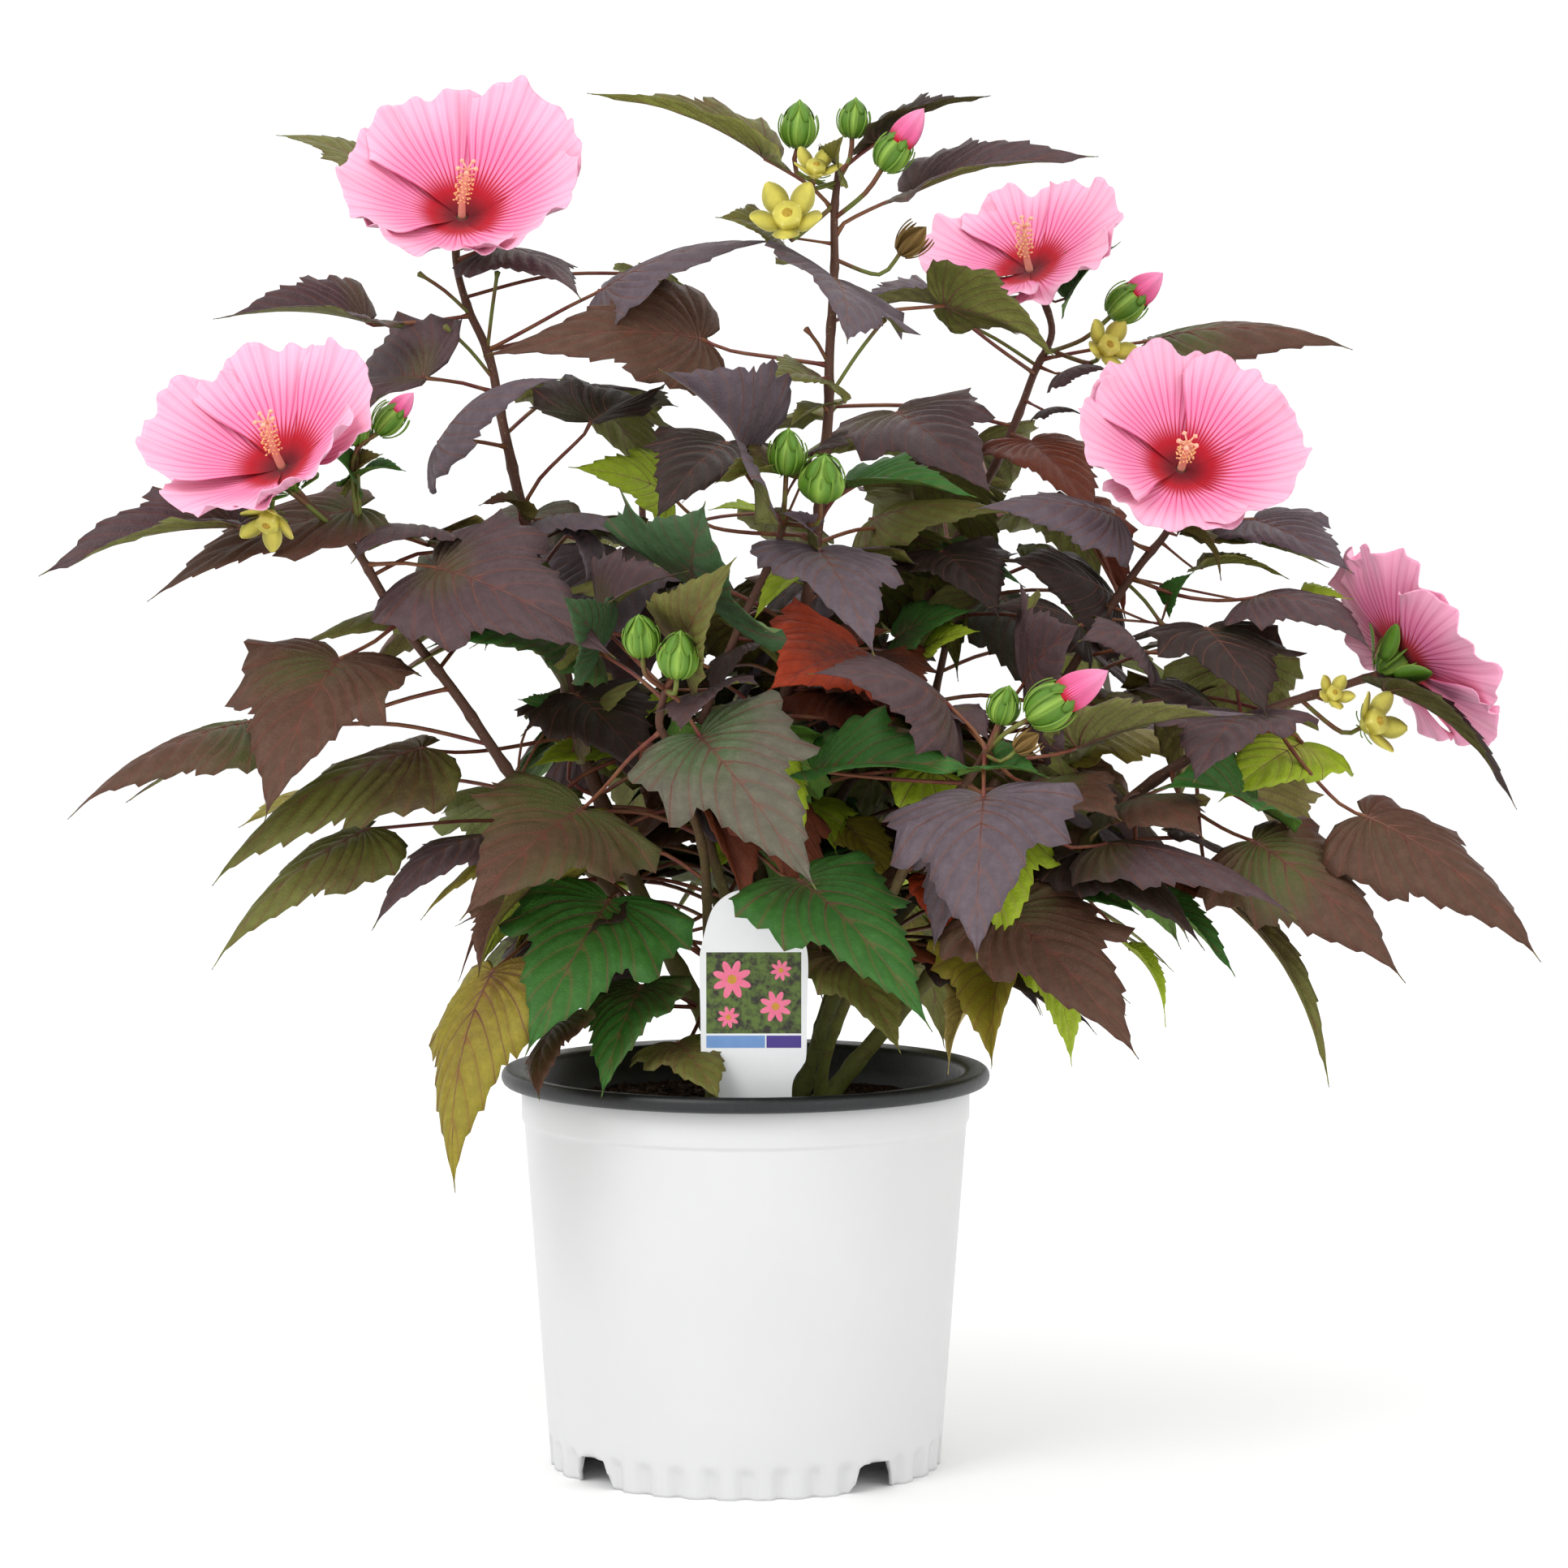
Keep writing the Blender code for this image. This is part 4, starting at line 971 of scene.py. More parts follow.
def stalk(sheaf, stems, stem, join, bends, junction, radius):
    """A leaf stalk from the stem's point nearest to a pixel, through its bends, thicker at both ends."""
    start = stem_point(stems, stem, join)
    marks = [start]
    for k, (px, py) in enumerate(bends):
        share = (k + 1.0) / (len(bends) + 1.0)
        depth = (start[1] + (junction[1] - start[1]) * share) * MM_PER_M
        marks.append(seen(px, py, depth))
    marks.append(junction)
    line = smooth_path(marks, STALK_STEP)
    share = np.linspace(0.0, 1.0, len(line))
    swell = 1.0 + 0.6 * np.exp(-(share / 0.05) ** 2) + 0.35 * np.exp(-((1.0 - share) / 0.05) ** 2)
    tube(sheaf, line, radius * swell * (1.08 - 0.25 * share), "stalk", sides=7)


def veins(sheaf, points, scale):
    """Raised ribs: the midrib and the main veins of the lobes, as thin tubes that straddle the blade."""
    middle = points[::2, BLADE_COLUMNS]
    thick, taper = MIDRIB
    tube(sheaf, middle, scale * (thick - taper * np.linspace(0.0, 1.0, len(middle))), "vein", sides=4)
    for row, size in SIDE_VEINS:
        for half in (points[row, BLADE_COLUMNS:], points[row, BLADE_COLUMNS::-1]):
            tube(sheaf, half, scale * size * (1.0 - 0.72 * np.linspace(0.0, 1.0, len(half))), "vein", sides=4)


class Crown:
    """The photograph's view of the leaves so far: which cells they cover, and how near they are there."""

    CELL = 9

    def __init__(self):
        self.nearest = np.full((PICTURE_PIXELS // self.CELL + 1,) * 2, np.inf)
        self.middles = []

    def cells(self, points):
        """Row and column of each point's cell."""
        place = np.clip((pixels_of(points) / self.CELL).astype(int), 0, self.nearest.shape[0] - 1)
        return place[:, 1], place[:, 0]

    def hold(self, points):
        """Marks a blade's cells, on a grid twice as fine as its own."""
        fine = np.concatenate((points[:, :-1], 0.5 * (points[:, :-1] + points[:, 1:])), axis=1).reshape(-1, 3)
        np.minimum.at(self.nearest, self.cells(fine), fine[:, 1])
        self.middles.append(points.mean(axis=(0, 1)))

    def hides(self, points, share):
        """Whether enough of a blade lies behind the leaves so far."""
        flat = points.reshape(-1, 3)
        return np.mean(self.nearest[self.cells(flat)] < flat[:, 1] - 0.004) > share

    def room(self, points, space):
        """Whether the blade's middle is clear of the others."""
        return np.linalg.norm(np.array(self.middles) - points.mean(axis=(0, 1)), axis=1).min() > space


def leaf_finishes():
    """A finish for the upper face and one for the underside of every tint."""
    finishes = {}
    for tint, (main, second, vein, back, back_vein) in TINTS.items():
        name = "leaf_" + tint
        shaded = tuple(0.8 * c for c in back)
        finishes[tint] = leaf_finish(name, main, second, vein)
        finishes[tint + "_under"] = leaf_finish(name + "_under", back, shaded, back_vein, 0.6, 0.5)
    return finishes


class Foliage:
    """Every leaf: blades in bunches by piece, with their stalks and raised veins."""

    def __init__(self, stems):
        self.stems = stems
        self.chance = np.random.default_rng(LEAF_SEED)
        self.finishes = leaf_finishes()
        self.bunches = {name: [] for name in FOLIAGE}
        self.stalks = Sheaf({"stalk": two_tone(
            "leaf_stalk", 0.4, 70.0, (112, 54, 48), (128, 84, 56), 0.42, (0.35, 0.65), 0.2, (900.0, 0.3))})
        self.ribs = Sheaf({"vein": two_tone(
            "leaf_vein", 0.35, 90.0, (98, 60, 54), (122, 84, 70), 0.5, (0.3, 0.7), 0.2)})
        self.crown = Crown()

    def grow(self, junction, tip, face, width, tint, habit, turned):
        """A blade in its place, the marks that its finish reads, and its tint."""
        made, rib, patch = blade(HABITS[habit], width, self.chance)
        marks = np.stack((rib, turned * 1.5 - patch + 0.5), -1)
        return planted(made, junction, tip, face), marks, tint

    def keep(self, piece, leaf):
        """Adds a leaf to its piece, and its raised veins."""
        placed = leaf[0]
        self.bunches[piece].append(leaf)
        self.crown.hold(placed)
        size = np.linalg.norm(placed[-1, BLADE_COLUMNS] - placed[0, BLADE_COLUMNS])
        veins(self.ribs, placed, max(size, SHORTEST_RIB))

    def show(self, piece, stem, join, bends, at, depth, end, size, openness, *looks):
        """A leaf that the photograph shows."""
        junction = seen(*at, depth)
        tip, face = leaf_pose(junction, end, size, openness)
        width, tint, habit, turned = looks
        self.keep("foliage_" + piece, self.grow(junction, tip, face, width, tint, habit, turned))
        radius = STALK_RADIUS if abs(size) > SMALL_LEAF else SMALL_STALK_RADIUS
        stalk(self.stalks, self.stems, stem, join, bends, junction, radius)

    def pick(self, choices):
        """One of the choices by chance."""
        return choices[int(self.chance.integers(len(choices)))]

    def fits(self, placed):
        """Whether a hidden leaf stays in the plant's box, off the rim, behind others and clear of them."""
        low, high = (np.array(corner) for corner in CAD_BOX)
        inside = (placed > low - RULE_PAST_BOX).all() and (placed < high + RULE_PAST_BOX).all()
        lowest = placed[..., 2].min()
        clear = lowest > OVER_RIM or np.linalg.norm(placed[..., :2], axis=-1).min() > PAST_RIM
        if not (inside and clear and lowest > RULE_LOWEST):
            return False
        return self.crown.hides(placed, RULE_HIDDEN) and self.crown.room(placed, RULE_ROOM)

    def hide(self, start, turn):
        """Tries one hidden leaf that leaves the stem at `start` in the direction `turn`."""
        chance = self.chance
        outward = np.array((math.cos(turn), math.sin(turn), 0.0))
        reach = chance.uniform(*RULE_REACH)
        junction = start + outward * reach + np.array((0.0, 0.0, chance.uniform(*RULE_RISE)))
        size = chance.uniform(*RULE_LENGTH)
        dip = math.radians(chance.uniform(*RULE_DIP))
        tip = junction + size * (outward * math.cos(dip) - np.array((0.0, 0.0, math.sin(dip))))
        face = outward * math.sin(dip) + np.array((0.0, 0.0, math.cos(dip)))
        habit = self.pick(RULE_HABITS)
        tint = self.pick(RULE_TINTS)
        if start[2] < LOW_HEIGHT and chance.uniform() < LOW_SHARE:
            tint = self.pick(LOW_TINTS)
        piece = "foliage_back" if junction[1] > BACK_DEPTH else nearest_piece(junction)
        width = chance.uniform(*RULE_WIDTH)
        turned = chance.uniform(*RULE_TURNED)
        leaf = self.grow(junction, tip, face, width, tint, habit, turned)
        if self.fits(leaf[0]):
            self.keep(piece, leaf)
            middle = 0.5 * (start + junction) + np.array((0.0, 0.0, 0.006))
            line = smooth_path((start, middle, junction), STALK_STEP)
            tube(self.stalks, line, STALK_RADIUS, "stalk", sides=6)

    def join(self):
        """One piece for each bunch of leaves, one for the stalks and one for the veins."""
        for name, leaves in self.bunches.items():
            across = math.ceil(math.sqrt(2 * len(leaves)))
            sheaf = Sheaf(self.finishes)
            for number, (placed, marks, tint) in enumerate(leaves):
                tiles = (tile_of(2 * number, across), tile_of(2 * number + 1, across))
                blade_surface(sheaf, placed, marks, tint, tint + "_under", tiles)
            sheaf.piece(name, "leaf_mass", ["leaves_" + mass for mass in FOLIAGE[name]], tiled=True)
        self.stalks.piece("leaf_stalks", "stem")
        self.ribs.piece("leaf_veins", "stem")


def plant_leaves(stems):
    """Sets every leaf that shows, then grows the hidden ones by a seeded rule up each stem."""
    foliage = Foliage(stems)
    for row in LEAVES:
        foliage.show(*row)
    for round_number in range(RULE_ROUNDS):
        for path, _, lengths in stems.values():
            for number, reach in enumerate(np.arange(RULE_START, lengths[-1], RULE_SPACING)):
                turn = math.radians(GOLDEN_TURN) * (number + 3 * round_number)
                turn = turn + foliage.chance.uniform(-RULE_STRAY, RULE_STRAY)
                foliage.hide(path[np.searchsorted(lengths, reach)], turn)
    foliage.join()


def nearest_piece(point):
    """The foliage piece whose leaf masses' boxes lie nearest to a point."""
    best, found = 1e9, "foliage_back"
    for name, masses in FOLIAGE.items():
        for mass in masses:
            low, high = (np.array(corner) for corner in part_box("leaves_" + mass))
            gap = np.linalg.norm(point - np.clip(point, low, high))
            if gap < best:
                best, found = gap, name
    return found


def plant_stems(stems):
    """Stems with the bark's relief: fine ridges along them, swellings and scars where stalks leave."""
    bark = Finish("bark", specular_ior_level=0.35)
    height = bark.node("ShaderNodeSeparateXYZ", {}, {0: bark.place()}, 2)
    cloud = bark.noise(38.0, 4.0)
    colour = bark.mix((height + cloud * 0.16).between(0.28, 0.50), paint(104, 110, 50), paint(92, 62, 50))
    colour = bark.mix(bark.noise(160.0, 5.0, 0.7).between(0.45, 0.7) * 0.5, colour, paint(76, 54, 40))
    specks = 1.0 - bark.cells(330.0, "F1").between(0.12, 0.2)
    colour = bark.mix(specks * 0.5, colour, paint(150, 128, 96))
    bark.wear(base_color=colour, roughness=0.55 + cloud * 0.2)
    bark.bump(bark.noise(520.0, 4.0) + specks * 0.5, 0.45, 0.0005)
    sheaf = Sheaf({"bark": bark})
    sides = 14
    angle = 2.0 * np.pi * np.arange(sides) / sides
    for number, (name, (path, radius, lengths)) in enumerate(stems.items()):
        ridges = 0.030 * np.sin(5.0 * angle + number) + 0.018 * np.sin(9.0 * angle + 2.0 * number)
        sway = np.sin(lengths * 210.0 + number)[:, None]
        wander = 0.03 * sway * np.sin(3.0 * angle + lengths[:, None] * 30.0)
        node = 0.20 * np.exp(-(((lengths + 0.011 * number) % 0.034 - 0.017) / 0.0034) ** 2)[:, None]
        scar = 0.25 * node * np.cos(angle - (lengths[:, None] // 0.034) * 2.4)
        flare = 0.45 * np.exp(-(lengths / 0.010) ** 2)[:, None] if name.startswith("stem") else 0.0
        tube(sheaf, path, radius, "bark", sides, 1.0 + ridges + wander + node + scar + flare)
    sheaf.piece("stems", "stem", list(STEMS))


# Blooms: middle of the disc in the photograph, depth (mm), radius and depth of the cup (mm), the way it
# faces, the stem that carries it and where its stalk leaves the stem
BLOOMS = {
    "bloom_west_high": (567, 212, 40, 69, 36, (0.02, -0.74, 0.67), "stem_west", (565, 289)),
    "bloom_west_low": (316, 520, -118, 65, 36, (-0.32, -0.66, 0.68), "bough_west_low", (432, 664)),
    "bloom_east_high": (1258, 300, 118, 60, 20, (-0.30, -0.56, 0.77), "stem_inner_east", (1283, 364)),
    "bloom_east_centre": (1469, 534, 6, 64, 36, (0.10, -0.82, 0.56), "stem_east_upright", (1456, 612)),
    "bloom_east_end": (1748, 797, 4, 69, 14, (0.80, 0.30, 0.52), "stem_east_low", (1697, 831)),
}
PETAL_ROWS = 34
PETAL_COLUMNS = 49
PETAL_GAIN = 1.02
PLEATS = 8.5
BLOOM_SEED = 12
# Stamen column: length (share of the bloom's radius), number of anthers, and where along it they begin and
# how far they spread
COLUMN_LENGTH = 0.45
ANTHERS = 64
ANTHERS_START = 0.38
ANTHERS_SPREAD = 0.58
# How far the calyx's base lies behind the cup (m)
CALYX_DEPTH = 0.016


def petal_finish(name, rim, body, streak):
    """Petal skin: pale pink to a deep red eye, with darker streaks that fan out along it and fade."""
    finish = Finish(name, specular_ior_level=0.25, sheen_weight=0.15)
    along, across = finish.mark("along"), finish.mark("across")
    warp = finish.noise(60.0) * 0.6
    line = (across * PLEATS * math.pi + warp).sine().size() ** 7.0
    fine = (across * 21.0 * math.pi + warp * 2.0).sine().size() ** 5.0
    colour = finish.mix(along.between(0.45, 1.0), paint(*body), paint(*rim))
    fade = 1.0 - along.between(0.35, 0.98)
    colour = finish.mix((line * 0.75 + fine * 0.3) * (fade * 0.85 + 0.20), colour, paint(*streak))
    eye = 1.0 - (along - line * 0.11 - fine * 0.03).between(0.24, 0.42)
    colour = finish.mix(eye, colour, paint(184, 8, 38))
    throat = 1.0 - along.between(0.08, 0.28)
    colour = finish.mix(throat, colour, paint(112, 4, 26))
    finish.wear(base_color=colour, roughness=0.55 + finish.noise(120.0) * 0.15)
    finish.bump(line * 0.7 + fine * 0.4 + finish.noise(600.0) * 0.3, 0.35, 0.0006)
    return finish


def petal(size, cup, number, chance):
    """One petal on a grid of share along and share across, in the bloom's own frame (its axis is +Z).

    Its half angle grows from the claw to the blade and its rim rounds off at the sides. It lifts in a bowl,
    leans so that one side lies over the next petal, rises or sinks a little, and its rim is frilled.
    """
    along = np.linspace(0.04, 1.0, PETAL_ROWS)[:, None]
    across = np.linspace(-1.0, 1.0, PETAL_COLUMNS)[None, :]
    half = 0.67 + 0.22 * ramp(0.0, 0.75, along)
    phase = chance.uniform(0.0, 6.28, 4)
    rim = 1.0 - 0.17 * np.abs(across) ** 3 + 0.018 * np.sin(11.0 * across + phase[0])
    rim = rim + 0.010 * np.sin(27.0 * across + phase[1])
    radius = size * (along * (1.0 - along ** 4) + along ** 5 * rim) * chance.uniform(0.97, 1.02)
    angle = 2.0 * math.pi * number / 5.0 + across * half
    height = cup * ((radius / size) ** 1.5 - 1.0)
    height = height + 0.0042 * across * ramp(0.02, 0.6, along)
    height = height + cup * chance.uniform(-0.15, 0.30) * along ** 3
    height = height + 0.0044 * along ** 5 * np.sin(8.0 * across + phase[2])
    height = height + 0.0024 * along ** 6 * np.sin(19.0 * across + phase[3])
    pleat = np.abs(np.sin(across * PLEATS * np.pi)) ** 1.5
    height = height + 0.0010 * pleat * ramp(0.05, 0.4, along) * (1.0 - 0.5 * along)
    points = np.stack((radius * np.cos(angle), radius * np.sin(angle), height), -1)
    marks = np.stack((along * np.ones_like(across), across * np.ones_like(along)), -1)
    return points, marks


def bloom_frame(facing):
    """Rows: two ways across the bloom and its axis."""
    axis = unit(facing)
    side = unit(np.cross(axis, (0.0, 0.0, 1.0)))
    return np.stack((side, np.cross(axis, side), axis))


def pod(sheaf, base, axis, length, width, finish, sides, rows, ribs, depth, sharp=0.9, open_end=0.0):
    """A ribbed pod: a turned egg, widest low down, whose radius dips between its ribs, with closed ends."""
    t = np.linspace(0.0, 1.0, rows)
    profile = np.sin(np.pi * t ** 0.75 * (1.0 - 0.5 * open_end)) ** sharp
    profile = np.maximum(profile, 0.05)
    other = bloom_frame(axis)
    angle = 2.0 * np.pi * np.arange(sides) / sides
    relief = 1.0 - depth * (1.0 - np.abs(np.cos(0.5 * ribs * angle)) ** 0.6)
    ring = other[0] * np.cos(angle)[:, None] + other[1] * np.sin(angle)[:, None]
    spread = profile[:, None] * relief * width / 2
    points = base + other[2] * (t[:, None, None] * length) + ring * spread[..., None]
    ends = np.stack((base, base + other[2] * length * 1.02))
    marks = np.stack((np.repeat(t, sides), np.tile(np.abs(np.cos(0.5 * ribs * angle)), rows)), -1)
    marks = np.concatenate((marks, ((0.0, 0.0), (1.0, 0.0))))
    points = np.concatenate((points.reshape(-1, 3), ends))
    sheaf.add(points, grid_faces(rows, sides, wrapped=True), finish, marks)
    close_ends(sheaf, rows, sides, finish)


STRIP_ROWS = 9


def strips(sheaf, base, axis, count, inner, length, width, spread, hook, finish, phase=0.0):
    """A ring of narrow pointed blades round an axis; each leaves at `spread` and bends in by `hook` radians.

    Each blade is a tube of four-cornered rings, wide across and thin through, closed by a quad at both ends.
    """
    across, up_way, ahead = bloom_frame(axis)
    t = np.linspace(0.0, 1.0, STRIP_ROWS)
    far = 4 * (STRIP_ROWS - 1)
    caps = np.array(((0, 3, 2, 1), (far, far + 1, far + 2, far + 3)))
    for k in range(count):
        angle = 2.0 * math.pi * k / count + phase
        outward = across * math.cos(angle) + up_way * math.sin(angle)
        bend = spread - hook * t
        out = inner + np.cumsum(np.sin(bend)) * length / STRIP_ROWS
        up = np.cumsum(np.cos(bend)) * length / STRIP_ROWS
        line = base + outward * out[:, None] + ahead * up[:, None]
        tangent = unit(np.gradient(line, axis=0))
        side = unit(np.cross(tangent, outward))
        half = width * 0.5 * np.sin(np.pi * np.clip(t * 0.85 + 0.12, 0.0, 1.0)) ** 0.7
        normal = np.cross(side, tangent)
        ring = np.stack((
            line - side * half[:, None], line + normal * 0.0004,
            line + side * half[:, None], line - normal * 0.0004), 1)
        points = ring.reshape(-1, 3)
        marks = np.stack((np.repeat(t, 4), np.tile((1.0, 0.0, 1.0, 0.0), STRIP_ROWS)), -1)
        sheaf.add(points, grid_faces(STRIP_ROWS, 4, wrapped=True), finish, marks)
        sheaf.more(caps + sheaf.count - len(points), finish)


def green_finish(name, main, stripe, gloss=0.45):
    """Calyx skin: green with paler ribs and a fine grain."""
    finish = Finish(name, specular_ior_level=0.45)
    rib = finish.mark("across") ** 6.0
    colour = finish.mix(finish.noise(120.0, 4.0), paint(*main), paint(*(0.78 * c for c in main)))
    colour = finish.mix(rib * 0.8, colour, paint(*stripe))
    finish.wear(base_color=colour, roughness=gloss + finish.noise(200.0) * 0.2)
    finish.bump(finish.noise(800.0) + rib * 0.5, 0.3, 0.0005)
    return finish


def plant_blooms(stems, greens):
    """Five petals, a red eye, the stamen column and the green calyx behind, for each bloom."""
    front = petal_finish("petal_face", (250, 186, 212), (244, 142, 184), (214, 60, 120))
    back = petal_finish("petal_back", (244, 168, 198), (226, 116, 160), (186, 60, 112))
    cream = two_tone("stamen_column", 0.3, 300.0, (246, 196, 160), (232, 158, 140), 0.6, grain=(900.0, 0.3))
    pollen = two_tone("pollen", 0.2, 500.0, (250, 214, 150), (240, 186, 120), 0.75, grain=(1500.0, 0.5))
    columns = Sheaf({"cream": cream, "pollen": pollen})
    chance = np.random.default_rng(BLOOM_SEED)
    for name, (px, py, depth, size, cup, facing, stem, join) in BLOOMS.items():
        axis = bloom_frame(facing)
        middle = seen(px, py, depth)
        size, cup = size / MM_PER_M * PETAL_GAIN, cup / MM_PER_M
        sheaf = Sheaf({"face": front, "back": back})
        for number in range(5):
            points, marks = petal(size, cup, number, chance)
            points = middle + points @ axis
            tiles = (tile_of(2 * number, 4), tile_of(2 * number + 1, 4))
            blade_surface(sheaf, points, marks, "face", "back", tiles)
        sheaf.piece(name + "_petals", "petal", [name], tiled=True)
        bottom = middle - axis[2] * cup
        length = size * COLUMN_LENGTH
        t = np.linspace(0.0, 1.0, 14)
        sway = axis[0] * 0.004 * math.sin(3.0 * px) + axis[1] * 0.004 * math.cos(2.0 * py)
        line = bottom + axis[2] * (t[:, None] * length) + sway * (t ** 2)[:, None]
        tube(columns, line, 0.0024 - 0.0010 * t, "cream", 10)
        for k in range(ANTHERS):
            share = ANTHERS_START + ANTHERS_SPREAD * (k / ANTHERS)
            start = bottom + axis[2] * share * length + sway * share ** 2
            angle = 2.4 * k
            outward = axis[0] * math.cos(angle) + axis[1] * math.sin(angle) + axis[2] * 0.35
            end = start + outward * chance.uniform(0.0028, 0.0046)
            tube(columns, (start, 0.5 * (start + end), end), 0.00022, "cream", 3)
            pod(columns, end - axis[2] * 0.0006, outward, 0.0015, 0.0014, "pollen", 6, 5, 2, 0.2)
        for k in range(5):
            angle = 2.0 * math.pi * k / 5.0 + px
            outward = axis[0] * math.cos(angle) + axis[1] * math.sin(angle)
            end = line[-1] + axis[2] * 0.0052 + outward * 0.0048
            tube(columns, (line[-1], line[-1] + axis[2] * 0.003 + outward * 0.0016, end), 0.0006, "cream", 5)
            pod(columns, end - axis[2] * 0.0012, axis[2] + outward, 0.0026, 0.0034, "cream", 8, 6, 2, 0.1)
        base = bottom - axis[2] * CALYX_DEPTH
        pod(greens, base, axis[2], 0.0152, 0.021, "calyx", 20, 9, 5, 0.16, 0.7, 0.9)
        strips(greens, base + axis[2] * 0.002, axis[2], 5, 0.008, 0.026, 0.013, 0.75, -0.35, "calyx", 0.3)
        strips(greens, base, axis[2], 11, 0.004, 0.022, 0.0022, 1.0, 0.7, "bract", 0.1)
        start = stem_point(stems, stem, join)
        middle_mark = 0.5 * (start + base) - axis[2] * 0.006
        tube(greens, smooth_path((start, middle_mark, base + axis[2] * 0.001), 0.006), 0.0019, "pedicel", 8)
    columns.piece("stamen_columns", "petal")


# Buds: middle in the photograph, depth, length and width (px), lean of the tip to the right and the back,
# stem, where the stalk leaves it, and how far the pink petals stand out (px)
BUDS = (
    ((984, 155), -30, 57, 44, (0.05, -0.2), "stem_centre", (1031, 232), 0),
    ((1052, 147), -18, 48, 37, (0.1, 0.0), "stem_centre", (1033, 222), 0),
    ((1102, 186), -40, 56, 46, (0.7, -0.3), "stem_centre", (1029, 272), 34),
    ((970, 558), -90, 55, 43, (0.05, -0.3), "stem_inner_west", (962, 650), 0),
    ((1013, 590), -96, 60, 58, (0.1, -0.6), "stem_inner_west", (966, 646), 0),
    ((790, 785), -168, 50, 44, (-0.1, -0.3), "stem_front_west", (819, 852), 0),
    ((836, 808), -176, 56, 50, (0.1, -0.3), "stem_front_west", (820, 850), 0),
    ((440, 528), -80, 44, 35, (0.0, -0.1), "bough_west_low", (447, 690), 0),
    ((482, 515), -84, 52, 34, (0.9, -0.1), "bough_west_low", (447, 690), 14),
    ((1237, 870), -140, 46, 38, (0.25, -0.2), "stem_front_east", (1214, 930), 0),
    ((1297, 868), -150, 70, 56, (1.6, -0.3), "stem_front_east", (1214, 930), 40),
    ((1390, 372), 110, 62, 50, (1.2, -0.2), "stem_inner_east", (1288, 435), 26),
)
# Spent calyxes, yellow: middle, depth, width (px), the way they face, stem and where the stalk leaves it
SPENT = (
    ((970, 262), -50, 92, (-0.1, -0.8, 0.5), "stem_centre", (1029, 255)),
    ((1006, 202), -44, 62, (0.1, -0.5, 0.6), "stem_centre", (1032, 228)),
    ((1368, 424), 100, 74, (0.3, -0.7, 0.3), "stem_inner_east", (1290, 430)),
    ((328, 648), -112, 72, (-0.2, -0.6, -0.6), "bough_west_low", (438, 664)),
    ((1700, 888), -30, 84, (0.5, -0.5, 0.2), "stem_east_low", (1600, 862)),
    ((1645, 853), -30, 50, (0.2, -0.6, 0.3), "stem_east_low", (1620, 855)),
)
# Dry capsules: middle, depth, length (px), lean, stem and where the stalk leaves it
CAPSULES = (
    ((1124, 297), -10, 48, (1.0, -0.2), "stem_centre", (1028, 320)),
    ((1265, 915), -146, 36, (1.3, -0.2), "stem_front_east", (1214, 930)),
)
# Stalks cut off short: stem, where they leave it and where they end
CUT_STALKS = (
    ("stem_west", (601, 434), (613, 335)), ("stem_west", (578, 392), (516, 337)),
    ("stem_west", (597, 470), (548, 402)),
    ("stem_centre", (1022, 490), (1090, 393)), ("stem_centre", (1021, 450), (993, 405)),
    ("stem_inner_east", (1280, 450), (1175, 392)), ("stem_east_upright", (1390, 720), (1432, 770)),
)
# How far a cut stalk's end comes forward (mm)
CUT_TOWARDS = 10.0


def lean_axis(lean):
    """Upwards, tilted to the right and towards the back by these shares."""
    return unit((lean[0], lean[1], 1.0))


